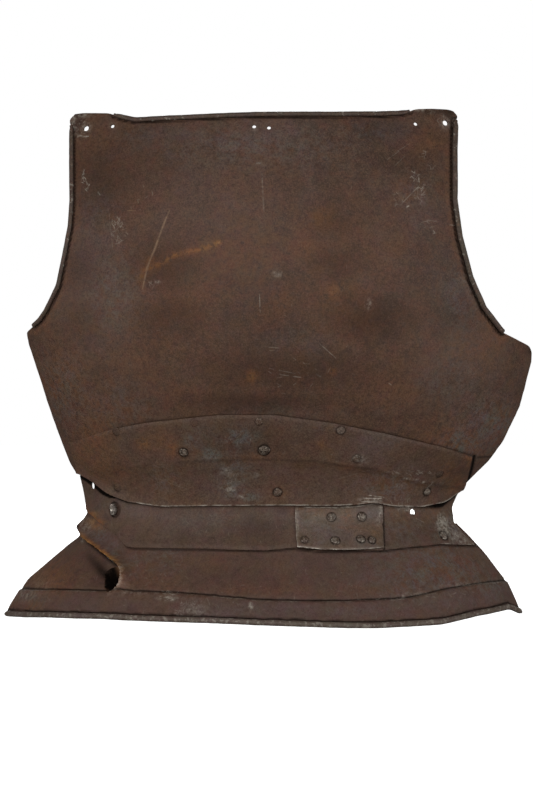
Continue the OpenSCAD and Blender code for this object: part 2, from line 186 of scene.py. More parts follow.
def path_dist(x, z, path):
    """Distance to a path, and the place along it in points."""
    best, place = np.full(np.shape(x), 1e9), np.zeros(np.shape(x))
    for k in range(len(path) - 1):
        d, t = seg_dist(x, z, path[k], path[k + 1])
        near = d < best
        best, place = np.where(near, d, best), np.where(near, k + t, place)
    return best, place


def resample(path, step, closed=False, keep=()):
    """Points along a path about step apart. Each vertex of the path with a corner stays."""
    p = np.asarray(path, float)
    if closed:
        p = np.vstack([p, p[:1]])
    out = []
    for k in range(len(p) - 1):
        n = max(1, int(round(np.linalg.norm(p[k + 1] - p[k]) / step)))
        for i in range(n):
            out.append(mix(p[k], p[k + 1], i / n))
    if not closed:
        out.append(p[-1])
    return np.array(out)


class Warp:
    """Stretches the drawing sideways so that a step is about as long as on the curved sheet."""

    def __init__(self, z0):
        x = np.linspace(-245, 245, 981)
        fx = np.gradient(depth(x, np.full_like(x, z0)), x)
        s = np.concatenate([[0], np.cumsum(np.sqrt(1 + ((fx[1:] + fx[:-1]) / 2) ** 2) * np.diff(x))])
        self.x, self.s = x, s - np.interp(0, x, s)

    def go(self, x):
        return np.interp(x, self.x, self.s)

    def back(self, s):
        return np.interp(s, self.s, self.x)


def fill(outline, holes, extra, step, warp):
    """Triangles that fill an outline with holes. Outline, holes and extra are in drawing widths and
    heights. Gives points (drawing), triangles and, for each outline and hole point, its index."""
    def w(p):
        p = np.asarray(p, float)
        return np.stack([warp.go(p[:, 0]), p[:, 1]], -1)

    rims = [w(outline)] + [w(h) for h in holes]
    fixed = list(rims)
    if len(extra):
        fixed.append(w(extra))
    fixed = np.vstack(fixed)
    lo, hi = rims[0].min(0), rims[0].max(0)
    rs = np.random.RandomState(7)
    rows = np.arange(lo[1], hi[1], step * 0.866)
    grid = []
    for r, z in enumerate(rows):
        xs = np.arange(lo[0] + (r % 2) * step / 2, hi[0], step)
        grid.append(np.stack([xs, np.full_like(xs, z)], -1))
    grid = np.vstack(grid)
    grid += (rs.rand(*grid.shape) - 0.5) * step * 0.12
    ok = inside(grid[:, 0], grid[:, 1], rims[0])
    for h in rims[1:]:
        ok &= ~inside(grid[:, 0], grid[:, 1], h)
    grid = grid[ok]
    from mathutils.kdtree import KDTree

    tree = KDTree(len(fixed))
    for i, p in enumerate(fixed):
        tree.insert((p[0], p[1], 0), i)
    tree.balance()
    far = np.array([tree.find((p[0], p[1], 0))[2] > step * 0.55 for p in grid])
    grid = grid[far]
    pts = np.vstack([fixed, grid])
    edges, at = [], 0
    for rim in rims:
        n = len(rim)
        edges += [(at + i, at + (i + 1) % n) for i in range(n)]
        at += n
    v, _, f, ov, _, _ = delaunay_2d_cdt([Vector(p) for p in pts], edges, [], 1, 1e-5)
    v = np.array([tuple(p) for p in v])
    f = np.array([t for t in f if len(t) == 3])
    c = v[f].mean(1)
    ok = inside(c[:, 0], c[:, 1], rims[0])
    for h in rims[1:]:
        ok &= ~inside(c[:, 0], c[:, 1], h)
    f = f[ok]
    a = v[f]
    area = ((a[:, 1, 0] - a[:, 0, 0]) * (a[:, 2, 1] - a[:, 0, 1])
            - (a[:, 2, 0] - a[:, 0, 0]) * (a[:, 1, 1] - a[:, 0, 1]))
    f[area < 0] = f[area < 0][:, ::-1]
    f = f[np.abs(area) > 1e-7]
    where = {}
    for i, src in enumerate(ov):
        for s in src:
            where[s] = i
    index = [where[i] for i in range(at)]
    return np.stack([warp.back(v[:, 0]), v[:, 1]], -1), f, index


def circle(x, z, r, n=20, wobble=0.0, seed=0):
    """The outline of a round hole that is square to the sheet there."""
    nn = normal(np.array(x, float), np.array(z, float))
    e1 = np.array([-nn[1], nn[0], 0.0])
    e1 /= np.linalg.norm(e1)
    e2 = np.cross(nn, e1)
    t = np.arange(n) * 2 * np.pi / n
    rr = r * (1 + wobble * (np.random.RandomState(seed).rand(n) - 0.5))
    c, s = (rr * np.cos(t))[:, None], (rr * np.sin(t))[:, None]
    p = c * e1 + s * e2
    return np.stack([x + p[:, 0], z + p[:, 2]], -1)


def stroke_points(strokes):
    """Extra points along scratches, so that they are sharp lines in the mesh."""
    pts = []
    for x1, z1, x2, z2, _, w in strokes:
        a, b = np.array([x1, z1], float), np.array([x2, z2], float)
        d = b - a
        length = np.linalg.norm(d)
        n = max(1, int(round(length / 0.9)))
        q = np.array([-d[1], d[0]]) / max(length, 1e-6) * w
        for i in range(n + 1):
            c = mix(a, b, i / n)
            pts += [c, c + q, c - q]
    if not pts:
        return np.zeros((0, 2))
    pts = np.array(pts)
    _, keep = np.unique(np.round(pts / 0.35).astype(int), axis=0, return_index=True)
    return pts[np.sort(keep)]


def rows_along(x, z, spread=0.75):
    """Three close rows of points, so that a thin dark line stays sharp in the mesh."""
    return np.vstack([np.stack([x, z + k], -1) for k in (-spread, 0, spread)])


def stroke_mask(x, z, strokes):
    """Each scratch is x, z, x, z, strength, half width. A negative strength means a tan one."""
    out = np.zeros_like(x)
    for x1, z1, x2, z2, a, w in strokes:
        a = abs(a)
        near = ((x > min(x1, x2) - 2) & (x < max(x1, x2) + 2) & (z > min(z1, z2) - 2) & (z < max(z1, z2) + 2))
        if near.any():
            d, _ = seg_dist(x[near], z[near], (x1, z1), (x2, z2))
            out[near] = np.maximum(out[near], a * np.clip(1 - d / w, 0, 1))
    return out


def scuffs(seed, cx, cz, rx, rz, count, angle, spread, length, strength, w=0.5):
    """A cluster of short scratches that mostly run one way."""
    rs = np.random.RandomState(seed)
    out = []
    for _ in range(count):
        r, a = math.sqrt(rs.rand()), rs.rand() * 2 * math.pi
        x, z = cx + rx * r * math.cos(a), cz + rz * r * math.sin(a)
        t = math.radians(angle + (rs.rand() - 0.5) * 2 * spread)
        h = length * (0.3 + 0.7 * rs.rand()) / 2
        s = strength * (0.45 + 0.55 * rs.rand())
        out.append([x - h * math.cos(t), z - h * math.sin(t), x + h * math.cos(t), z + h * math.sin(t), s, w])
    return out


# --- making the meshes ------------------------------------------------------------------
ATTRS = ("outer", "edge", "roll", "mark", "tan", "rust", "ochre", "blue", "lilac", "pale", "dark")
STEPS = 16  # steps round a turned edge
TURN = math.radians(300)
# painted shade round a turned edge: inside its curl, and in the groove where it comes back to the sheet
TURN_SHADE = np.concatenate([np.full(STEPS, 0.6), 0.9 * ease((np.arange(STEPS, 0, -1) * TURN / STEPS - 4.1) / 0.8)])


def new_object(name, verts, faces, attrs, material, body, nodes, angle=40, drop=True):
    me = bpy.data.meshes.new(name)
    me.from_pydata([tuple(v) for v in verts], [], [tuple(int(i) for i in f) for f in faces])
    me.update()
    for key, values in attrs.items():
        at = me.attributes.new(key, "FLOAT", "POINT")
        at.data.foreach_set("value", np.asarray(values, np.float32))
    me.polygons.foreach_set("use_smooth", np.ones(len(me.polygons), bool))
    me.set_sharp_from_angle(angle=math.radians(angle))
    me.materials.append(material)
    ob = bpy.data.objects.new(name, me)
    bpy.context.scene.collection.objects.link(ob)
    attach(ob, body)
    if nodes:
        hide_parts(*nodes)
    return ob


def rows_of(n, count):
    return np.arange(n * count).reshape(n, count)


def plate(name, parts, material, nodes, masks, runs=(), step=1.7, step_in=3.0, warp_z=200.0,
          strokes=(), rolled=None, guides=None):
    """A sheet with two faces, its edges and its turned edges, as one closed mesh.

    parts is a list of (outline, holes, outer offset, inner offset): the two offsets are functions
    of width and height. runs is a list of (indices into the first part's outline, radius, function of place):
    outline points that are rolled outwards."""
    verts, faces, tags = [], [], []
    store = {k: [] for k in ATTRS}
    warp = Warp(warp_z)
    base = 0
    rolls = []
    for part, (outline, holes, out_of, in_of) in enumerate(parts):
        extra = stroke_points(strokes)
        if guides is not None:
            extra = np.vstack([extra, guides])
        if len(extra):
            ok = inside(extra[:, 0], extra[:, 1], outline)
            d, _ = path_dist(extra[:, 0], extra[:, 1], np.vstack([outline, outline[:1]]))
            ok &= d > 0.8
            for h in holes:
                c = np.mean(h, axis=0)
                ok &= np.hypot(extra[:, 0] - c[0], extra[:, 1] - c[1]) > 0.7 + np.hypot(*(h - c).T).max()
            extra = extra[ok]
        po, fo, io = fill(outline, holes, extra, step, warp)
        pi, fi, ii = fill(outline, holes, np.zeros((0, 2)), step_in, warp)
        rim = np.vstack([outline, outline[:1]])
        m = masks(po[:, 0], po[:, 1])
        d, _ = path_dist(po[:, 0], po[:, 1], rim)
        edge = np.exp(-d / 1.2) * m.get("wear", 1.0)
        outer = on_body(po[:, 0], po[:, 1], out_of(po[:, 0], po[:, 1]))
        inner = on_body(pi[:, 0], pi[:, 1], in_of(pi[:, 0], pi[:, 1]))
        o0, i0 = base, base + len(po)
        verts += [outer, inner]
        faces += [fo + o0, fi[:, ::-1] + i0]
        base += len(po) + len(pi)
        for k in store:
            if k == "outer":
                store[k] += [np.ones(len(po)), np.zeros(len(pi))]
            elif k == "edge":
                store[k] += [edge, 0.3 * np.exp(-path_dist(pi[:, 0], pi[:, 1], rim)[0] / 1.6)]
            elif k in ("mark", "tan"):
                some = [s for s in strokes if (s[4] < 0) == (k == "tan")]
                store[k] += [stroke_mask(po[:, 0], po[:, 1], some), np.zeros(len(pi))]
            elif k == "roll":
                store[k] += [np.zeros(len(po)), np.zeros(len(pi))]
            else:
                store[k] += [m.get(k, np.zeros(len(po))), 0.0 * np.zeros(len(pi))]
        # walls round the outline and the holes, save where an edge is rolled
        skip = set()
        if part == 0:
            for run in runs:
                idx = run[0]
                skip |= {(idx[k], idx[k + 1]) for k in range(len(idx) - 1)}
        at = 0
        for r, rim_pts in enumerate([outline] + list(holes)):
            n = len(rim_pts)
            quads = []
            for k in range(n):
                a, b = at + k, at + (k + 1) % n
                if (a, b) in skip:
                    continue
                q = [o0 + io[b], o0 + io[a], i0 + ii[a], i0 + ii[b]]
                quads.append(q if r == 0 else q[::-1])
            if quads:
                faces.append(np.array(quads))
            at += n
        if part == 0:
            for run in runs:
                idx, radius, shape = run
                P = outer[[io[k] for k in idx]]
                N = normal(outline[idx][:, 0], outline[idx][:, 1])
                tang = np.gradient(P, axis=0)
                D = np.cross(tang, N)
                D /= np.linalg.norm(D, axis=1, keepdims=True)
                rolls.append((P, N, D, [o0 + io[k] for k in idx], [i0 + ii[k] for k in idx], radius, shape))
    centres = []
    for P, N, D, a_idx, b_idx, radius, shape in rolls:
        n = len(P)
        rr, tt, flat = shape(np.arange(n) / (n - 1), P)
        r_in = radius * rr
        C = P + r_in[:, None] * N
        centres.append((P + radius * N, N, D, radius))
        ring = []
        for k in range(1, STEPS + 1):
            phi = TURN * k / STEPS
            ring.append(C + (r_in * math.sin(phi))[:, None] * D - (r_in * math.cos(phi) * flat)[:, None] * N)
        for k in range(STEPS, 0, -1):
            phi = TURN * k / STEPS
            ro = r_in + tt
            ring.append(C + (ro * math.sin(phi))[:, None] * D - (ro * math.cos(phi) * flat)[:, None] * N)
        count = len(ring)
        verts.append(np.stack(ring, 1).reshape(-1, 3))
        idx = rows_of(n, count) + base
        base += n * count
        for k in store:
            fill_value = {"outer": 1.0, "edge": 0.25, "roll": 1.0}.get(k, 0.0)
            store[k].append(np.tile(TURN_SHADE, n) if k == "dark" else np.full(n * count, fill_value))
        chain = np.concatenate([np.array(a_idx)[:, None], idx, np.array(b_idx)[:, None]], 1)
        a, b = chain[:-1], chain[1:]
        faces.append(np.stack([a[:, :-1], a[:, 1:], b[:, 1:], b[:, :-1]], -1).reshape(-1, 4))
        l = chain.shape[1] - 1
        for end, row in ((0, chain[0]), (1, chain[-1])):
            cap = [[row[c], row[c + 1], row[l - c - 1], row[l - c]] for c in range(STEPS)]
            faces.append(np.array([q[::-1] for q in cap] if end == 0 else cap))
    v = seat(np.vstack(verts))
    f = [list(q) for block in faces for q in block]
    attrs = {k: np.concatenate(s) for k, s in store.items()}
    if rolled is not None:
        attrs = rolled(v, attrs)
    ob = new_object(name, v, f, attrs, material, "shell", nodes)
    return ob, centres


def wire(name, centre, material, node, clear=0.2, segs=12, trim=0):
    """The round wire inside a turned edge, with blunt ends that may stop short of it."""
    C, N, D, radius = centre
    if trim:
        C, N, D = C[trim:-trim], N[trim:-trim], D[trim:-trim]
    w = radius - clear
    n = len(C)
    ring = []
    for k in range(segs):
        t = 2 * math.pi * k / segs
        ring.append(C + w * math.sin(t) * D - w * math.cos(t) * N)
    v = np.stack(ring, 1).reshape(-1, 3)
    idx = rows_of(n, segs)
    nxt = np.roll(idx, -1, axis=1)
    f = np.stack([idx[:-1], idx[1:], nxt[1:], nxt[:-1]], -1).reshape(-1, 4).tolist()
    tip = []
    for end, row, s in ((0, idx[0], -1), (1, idx[-1], 1)):
        tang = C[1] - C[0] if end == 0 else C[-1] - C[-2]
        tang = tang / np.linalg.norm(tang)
        tip.append(C[0 if end == 0 else -1] + tang * s * 0.25)
        hub = n * segs + end
        for k in range(segs):
            a, b = row[k], row[(k + 1) % segs]
            f.append([hub, a, b] if end == 0 else [hub, b, a])
    v = seat(np.vstack([v, np.array(tip)]))
    zero = np.zeros(len(v))
    return new_object(name, v, f, {"edge": zero + 0.2}, material, "shell", [node], angle=60)


def axes_at(x, z):
    nn = normal(np.array(float(x)), np.array(float(z)))
    e1 = np.array([-nn[1], nn[0], 0.0])
    e1 /= np.linalg.norm(e1)
    return e1, np.cross(nn, e1), nn


def rivet_mesh(x, z, hi, lo, d, h, tail_d, tail_h, seed, squash=(1.0, 1.0), turn=0.0, shank=1.57, worn=0.0, dish=0.0,
               grit=0.30, bare=1.0):
    """One hammered rivet: a low dome that isn't quite round, its shank, and its peened end."""
    rs = np.random.RandomState(seed)
    e1, e2, nn = axes_at(x, z)
    ca, sa = math.cos(turn), math.sin(turn)
    u, w = ca * e1 + sa * e2, -sa * e1 + ca * e2
    base = on_body(np.array(float(x)), np.array(float(z)), float(relief(np.array(float(x)), np.array(float(z)))))
    segs = 28
    ang = np.arange(segs) * 2 * np.pi / segs
    lobes = 1 + 0.05 * np.cos(2 * ang + rs.rand() * 6) + 0.035 * np.cos(3 * ang + rs.rand() * 6) \
        + 0.025 * np.cos(5 * ang + rs.rand() * 6) + 0.02 * (rs.rand(segs) - 0.5)
    tails = 1 + 0.07 * np.cos(2 * ang + rs.rand() * 6) + 0.05 * np.cos(3 * ang + rs.rand() * 6) \
        + 0.03 * (rs.rand(segs) - 0.5)
    # profile: radius share, height share, kind
    prof = [(0.0, lo - tail_h, "t"), (tail_d * 0.22, lo - tail_h * 0.97, "t"), (tail_d * 0.36, lo - tail_h * 0.82, "t"),
            (tail_d * 0.46, lo - tail_h * 0.45, "t"), (tail_d * 0.5, lo - tail_h * 0.12, "t"),
            (tail_d * 0.485, lo + 0.02, "t"), (shank, lo + 0.02, "s"), (shank, hi - 0.02, "s"),
            (d * 0.485, hi - 0.02, "h"), (d * 0.5, hi + h * 0.10, "h"), (d * 0.485, hi + h * 0.28, "h"),
            (d * 0.44, hi + h * 0.52, "h"), (d * 0.37, hi + h * 0.72, "h"), (d * 0.28, hi + h * 0.87, "h"),
            (d * 0.17, hi + h * 0.96, "h"), (d * 0.08, hi + h * 1.0, "h"), (0.0, hi + h * 1.0, "h")]
    if dish:
        prof = [(r, o if kind != "h" or o < hi + h * 0.4 else hi + h * (1 - dish * ease(1 - r / (d * 0.37))), kind) for r, o, kind in prof]
    dome = [(rs.rand(segs) - 0.5) * h * 0.12 for _ in prof]
    # a few flats left by the hammer
    flats = [(rs.rand() * 6.28, 0.35 + 0.5 * rs.rand()) for _ in range(4)]
    verts, ids, attr_edge, attr_dark, head = [], [], [], [], []
    for k, (r, o, kind) in enumerate(prof):
        if r == 0.0:
            verts.append(base + o * nn)
            ids.append([len(verts) - 1])
            attr_edge.append(0.3)
            attr_dark.append(0.0)
            head.append(0.0)
            continue
        row = []
        for s in range(segs):
            shape = lobes[s] if kind == "h" else tails[s] if kind == "t" else 1.0
            rad = r * shape
            ox, oy = rad * math.cos(ang[s]) * squash[0], rad * math.sin(ang[s]) * squash[1]
            if kind == "s":
                ox, oy = r * math.cos(ang[s]), r * math.sin(ang[s])
            off = o
            if kind == "h" and o > hi + h * 0.3:
                off += dome[k][s] * 0.5
                for fa, fr in flats:
                    fx, fy = math.cos(fa) * d * 0.5 * fr, math.sin(fa) * d * 0.5 * fr
                    q = math.hypot(ox - fx, oy - fy) / (d * 0.18)
                    off -= 0.20 * h * math.exp(-q * q)
            verts.append(base + off * nn + ox * u + oy * w)
            row.append(len(verts) - 1)
            attr_edge.append(0.35 if (kind == "h" and k < 11) else 0.5 if kind == "h" else 0.1)
            # the lower side of each head is painted dark: painted shade where it meets the plate
            attr_dark.append({8: 1.0, 9: 0.9, 10: 0.55, 11: 0.15}.get(k, 0.0) if kind == "h" else 0.0)
            head.append(1.0 if kind == "h" else 0.0)
        ids.append(row)
    faces = []
    for a, b in zip(ids[:-1], ids[1:]):
        if len(a) == 1:
            faces += [[a[0], b[(s + 1) % segs], b[s]] for s in range(segs)]
        elif len(b) == 1:
            faces += [[a[s], a[(s + 1) % segs], b[0]] for s in range(segs)]
        else:
            faces += [[a[s], a[(s + 1) % segs], b[(s + 1) % segs], b[s]] for s in range(segs)]
    # dirt left in the pits of the head, painted shade round its foot, and bare specks between them
    head, speck = np.array(head), rs.rand(len(verts))
    dirt_and_shade = np.maximum(attr_dark, 0.7 * head * (speck < grit)) * (0.4 + 0.6 * bare)
    return np.array(verts), faces, {"edge": np.array(attr_edge) * bare, "dark": dirt_and_shade,
                                    "pale": worn + head * 0.5 * bare * (speck > 1 - 0.5 * grit), "outer": np.full(len(verts), 1.0)}


def rivets(name, specs, material, node, body="shell"):
    V, F, A = [], [], []
    n = 0
    for s in specs:
        v, f, a = rivet_mesh(**s)
        V.append(v)
        F += [[i + n for i in q] for q in f]
        A.append(a)
        n += len(v)
    attrs = {k: np.concatenate([a[k] for a in A]) for k in A[0]}
    return new_object(name, seat(np.vstack(V)), F, attrs, material, body, [node], angle=50)


def ring_dirt_and_shade(x, z, spots):
    """Dark ring in the joint round each head: dirt, and painted shade of the head on the plate. Spots are x, z,
    head diameter, strength and, where the ring is a painted shadow on one side only, the direction of that side in
    degrees."""
    out = np.zeros_like(x)
    for s in spots:
        px, pz, d, a = s[:4]
        near = (np.abs(x - px) < d) & (np.abs(z - pz) < d)
        if not near.any():
            continue
        e1, e2, _ = axes_at(px, pz)
        v = on_body(x[near], z[near], 0) - on_body(np.array(float(px)), np.array(float(pz)), 0)
        r = np.linalg.norm(v, axis=-1)
        g = a * np.exp(-((r - d / 2 - 0.15) / 0.55) ** 2)
        if len(s) > 4:
            t = np.degrees(np.arctan2(v @ e2, v @ e1))
            off = np.abs((t - s[4] + 180) % 360 - 180)
            g = g * ease((95 - off) / 50)
        out[near] = np.maximum(out[near], g)
    return out


# --- materials ------------------------------------------------------------------------
class Nodes:
    """Short calls for a node tree."""

    def __init__(self, name):
        self.mat = bpy.data.materials.new(name)
        self.mat.use_nodes = True
        self.nt = self.mat.node_tree
        self.nt.nodes.clear()
        self.out = self.nt.nodes.new("ShaderNodeOutputMaterial")
        self.bsdf = self.nt.nodes.new("ShaderNodeBsdfPrincipled")
        self.nt.links.new(self.bsdf.outputs[0], self.out.inputs[0])
        self.coord = self.nt.nodes.new("ShaderNodeTexCoord").outputs["Object"]

    def link(self, a, b):
        self.nt.links.new(a, b)

    def put(self, socket, value):
        if hasattr(value, "is_linked") or isinstance(value, bpy.types.NodeSocket):
            self.nt.links.new(value, socket)
        else:
            socket.default_value = value

    def noise(self, scale, detail=3.0, rough=0.5, distort=0.0, offset=(0, 0, 0), stretch=(1, 1, 1)):
        m = self.nt.nodes.new("ShaderNodeMapping")
        m.inputs["Location"].default_value = offset
        m.inputs["Scale"].default_value = stretch
        self.link(self.coord, m.inputs["Vector"])
        n = self.nt.nodes.new("ShaderNodeTexNoise")
        n.inputs["Scale"].default_value = scale
        n.inputs["Detail"].default_value = detail
        n.inputs["Roughness"].default_value = rough
        n.inputs["Distortion"].default_value = distort
        self.link(m.outputs[0], n.inputs["Vector"])
        return n.outputs["Fac"]

    def voronoi(self, scale, feature="F1", offset=(0, 0, 0)):
        m = self.nt.nodes.new("ShaderNodeMapping")
        m.inputs["Location"].default_value = offset
        self.link(self.coord, m.inputs["Vector"])
        n = self.nt.nodes.new("ShaderNodeTexVoronoi")
        n.feature = feature
        n.inputs["Scale"].default_value = scale
        self.link(m.outputs[0], n.inputs["Vector"])
        return n.outputs["Distance"]

    def attr(self, name):
        n = self.nt.nodes.new("ShaderNodeAttribute")
        n.attribute_name = name
        return n.outputs["Fac"]

    def math(self, op, a, b=0.0, clamp=False):
        n = self.nt.nodes.new("ShaderNodeMath")
        n.operation = op
        n.use_clamp = clamp
        self.put(n.inputs[0], a)
        self.put(n.inputs[1], b)
        return n.outputs[0]

    def step(self, value, lo, hi):
        """0 below lo and 1 above hi, smooth between."""
        n = self.nt.nodes.new("ShaderNodeMapRange")
        n.interpolation_type = "SMOOTHSTEP"
        self.put(n.inputs["Value"], value)
        n.inputs["From Min"].default_value = lo
        n.inputs["From Max"].default_value = hi
        return n.outputs[0]

    def scale(self, value, lo, hi, a, b):
        n = self.nt.nodes.new("ShaderNodeMapRange")
        self.put(n.inputs["Value"], value)
        n.inputs["From Min"].default_value = lo
        n.inputs["From Max"].default_value = hi
        n.inputs["To Min"].default_value = a
        n.inputs["To Max"].default_value = b
        return n.outputs[0]

    def mix(self, fac, a, b, mode="MIX"):
        n = self.nt.nodes.new("ShaderNodeMix")
        n.data_type = "RGBA"
        n.blend_type = mode
        n.clamp_factor = True
        self.put(n.inputs[0], fac)
        for socket, value in ((n.inputs[6], a), (n.inputs[7], b)):
            if isinstance(value, tuple):
                socket.default_value = (*value, 1.0)
            else:
                self.put(socket, value)
        return n.outputs[2]

    def bump(self, height, strength, distance, normal=None):
        n = self.nt.nodes.new("ShaderNodeBump")
        n.inputs["Strength"].default_value = strength
        n.inputs["Distance"].default_value = distance
        self.put(n.inputs["Height"], height)
        if normal is not None:
            self.put(n.inputs["Normal"], normal)
        return n.outputs[0]


TONE = (0.93, 0.78, 0.655)
ROLL_GREY = (0.054, 0.054, 0.050)
ROLL_PALE = (0.084, 0.078, 0.076)


def tint(c):
    return tuple(a * b for a, b in zip(c, TONE))



def iron(name, deep, warm, cool, seed=0.0, grain=1.0, wear=0.5, rough=0.58, inside_rust=0.35, spec=0.24, turned=ROLL_GREY,
         fleck=0.60, mottle=1.0):
    """Old wrought iron sheet: brown oxide over grey, finely pitted, worn bright on its edges."""
    deep, warm, cool = tint(deep), tint(warm), tint(cool)
    m = Nodes(name)
    off = (seed * 1.7, seed * 0.9, seed * 1.3)
    big = m.noise(11, 3, 0.55, 0.4, off)
    mid = m.noise(46, 4, 0.6, 0.3, (off[0] + 3, off[1], off[2]))
    cloud = m.noise(105, 4, 0.62, 0.5, (off[0] + 21, off[1], off[2]))
    small = m.noise(260, 4, 0.64, 0.0, (off[0] + 5, off[1], off[2]))
    grit = m.noise(470, 3, 0.70, 0.3, (off[0] + 31, off[1], off[2]))
    fine = m.noise(900, 3, 0.68, 0.0, (off[0] + 9, off[1], off[2]))
    pits = m.voronoi(520, "F1", off)
    outer = m.attr("outer")

    col = m.mix(m.step(big, 0.36, 0.64), deep, warm)
    col = m.mix(m.math("MULTIPLY", m.step(mid, 0.45, 0.70), 0.6), col, cool)
    col = m.mix(m.math("MULTIPLY", m.step(m.noise(24, 4, 0.6, 0.8, (off[0] + 14, off[1], off[2])), 0.50, 0.72), 0.45),
                col, (warm[0] * 1.35, warm[1] * 1.04, warm[2] * 0.72))
    col = m.mix(m.math("MULTIPLY", m.step(cloud, 0.48, 0.70), 0.42), col, (warm[0] * 1.3, warm[1] * 1.10, warm[2] * 0.95))
    col = m.mix(m.math("MULTIPLY", m.step(cloud, 0.50, 0.30), 0.52), col, (deep[0] * 0.68, deep[1] * 0.68, deep[2] * 0.72))
    # the inner face kept more rust
    inner = m.math("SUBTRACT", 1.0, outer)
    col = m.mix(m.math("MULTIPLY", m.math("MULTIPLY", inner, m.step(mid, 0.4, 0.6)), inside_rust), col, tint((0.095, 0.045, 0.022)))

    broken = m.scale(small, 0.32, 0.66, 0.25, 1.45)
    rust = m.math("MULTIPLY", m.attr("rust"), broken, True)
    col = m.mix(rust, col, tint((0.150, 0.068, 0.026)))
    blue = m.math("MULTIPLY", m.attr("blue"), m.scale(m.noise(130, 4, 0.68, 0.4, off), 0.38, 0.60, 0.0, 1.35), True)
    blue = m.math("MULTIPLY", blue, m.scale(grit, 0.36, 0.62, 0.35, 1.45), True)
    col = m.mix(blue, col, tint((0.090, 0.102, 0.112)))
    lilac = m.math("MULTIPLY", m.attr("lilac"), m.scale(mid, 0.3, 0.7, 0.6, 1.1), True)
    col = m.mix(lilac, col, tint((0.088, 0.068, 0.076)))
    ochre = m.math("MULTIPLY", m.attr("ochre"), m.scale(small, 0.34, 0.62, 0.30, 1.2), True)
    col = m.mix(ochre, col, (0.225, 0.098, 0.026))
    bright = m.math("MULTIPLY", m.step(m.attr("ochre"), 0.78, 1.0), m.step(grit, 0.47, 0.60), True)
    col = m.mix(m.math("MULTIPLY", bright, 0.7), col, (0.40, 0.215, 0.060))
    # the turned edges are a darker, greener grey
    roll = m.attr("roll")
    col = m.mix(m.math("MULTIPLY", roll, m.scale(cloud, 0.35, 0.65, 0.5, 0.95)), col, tint(turned))

    # patches that turn a little purple or a little olive
    hue = m.noise(72, 4, 0.62, 0.4, (off[0] + 40, off[1], off[2]))
    col = m.mix(m.math("MULTIPLY", m.step(hue, 0.48, 0.66), 0.42), col, (1.10, 0.84, 1.10), "MULTIPLY")
    col = m.mix(m.math("MULTIPLY", m.step(hue, 0.52, 0.34), 0.42), col, (0.97, 1.12, 0.86), "MULTIPLY")

    # mottling and grain, which vary in lightness more than in colour
    col = m.mix(m.math("MULTIPLY", m.step(small, 0.50, 0.74), 0.32 * mottle), col, (warm[0] * 1.58, warm[1] * 1.70, warm[2] * 1.76))
    col = m.mix(m.math("MULTIPLY", m.step(small, 0.50, 0.28), 0.42 * mottle), col, (deep[0] * 0.58, deep[1] * 0.47, deep[2] * 0.38))
    col = m.mix(m.math("MULTIPLY", m.step(grit, 0.52, 0.72), 0.34 * grain), col, (warm[0] * 1.72, warm[1] * 1.84, warm[2] * 1.95))
    col = m.mix(m.math("MULTIPLY", m.step(grit, 0.48, 0.29), 0.42 * grain), col, (deep[0] * 0.54, deep[1] * 0.43, deep[2] * 0.36))
    col = m.mix(m.math("MULTIPLY", m.step(fine, 0.50, 0.72), 0.42 * grain), col, (warm[0] * 1.68, warm[1] * 2.08, warm[2] * 2.5))
    col = m.mix(m.math("MULTIPLY", m.step(fine, 0.50, 0.29), 0.50 * grain), col, (deep[0] * 0.48, deep[1] * 0.30, deep[2] * 0.20))
    # the dark mask, mixed towards near black: dirt, and painted shade in grooves, creases, gaps, the tear's hollow,
    # under lapped edges and round rivet heads
    dark = m.math("MULTIPLY", m.attr("dark"), m.scale(small, 0.3, 0.7, 0.85, 1.12), True)
    col = m.mix(dark, col, (0.0085, 0.0055, 0.0040))

    # worn places: edges, scratches, pale spots; the pale spots also hold painted highlights on the skirt's crease step
    # and along the patch's left edge
    edge = m.attr("edge")
    worn_edge = m.math("MULTIPLY", m.step(edge, 0.30, 0.9), m.scale(m.noise(150, 4, 0.6, 0.2, off), 0.38, 0.62, 0.0, wear), True)
    pale = m.math("MULTIPLY", m.attr("pale"), m.scale(small, 0.38, 0.60, 0.0, 1.25), True)
    pale = m.math("MULTIPLY", pale, m.scale(grit, 0.38, 0.60, 0.3, 1.5), True)
    mark = m.math("MULTIPLY", m.attr("mark"), m.scale(small, 0.36, 0.58, 0.15, 1.15), True)
    worn = m.math("MAXIMUM", m.math("MAXIMUM", worn_edge, pale), mark)
    col = m.mix(worn, col, (0.30, 0.265, 0.22))
    tan = m.math("MULTIPLY", m.attr("tan"), m.scale(small, 0.32, 0.62, 0.35, 1.15), True)
    col = m.mix(tan, col, (0.185, 0.112, 0.066))
    flecks = m.math("MULTIPLY", roll, m.step(m.noise(300, 3, 0.6, 0.0, off), fleck, fleck + 0.09))
    col = m.mix(m.math("MULTIPLY", flecks, 0.6), col, (0.22, 0.195, 0.16))

    m.link(col, m.bsdf.inputs["Base Color"])
    # dirt and painted shade in the dark mask get next to no sheen
    m.link(m.math("ADD", m.math("MULTIPLY", worn, 0.35), m.math("MULTIPLY", dark, 0.9), True), m.bsdf.inputs["Metallic"])
    m.bsdf.inputs["Specular IOR Level"].default_value = spec
    r = m.math("ADD", m.scale(small, 0.25, 0.75, rough - 0.08, rough + 0.10), m.math("MULTIPLY", worn, -0.16))
    m.link(m.math("ADD", r, m.math("MULTIPLY", dark, 0.3), True), m.bsdf.inputs["Roughness"])

    h = m.math("ADD", m.math("MULTIPLY", small, 1.0), m.math("MULTIPLY", fine, 0.5))
    h = m.math("SUBTRACT", h, m.math("MULTIPLY", m.step(pits, 0.34, 0.0), 0.45))
    h = m.math("SUBTRACT", h, m.math("MULTIPLY", mark, 0.4))
    h = m.math("ADD", h, m.math("MULTIPLY", m.attr("rust"), m.math("MULTIPLY", fine, 0.6)))
    m.link(m.bump(h, 0.75, 0.00034), m.bsdf.inputs["Normal"])
    return m.mat


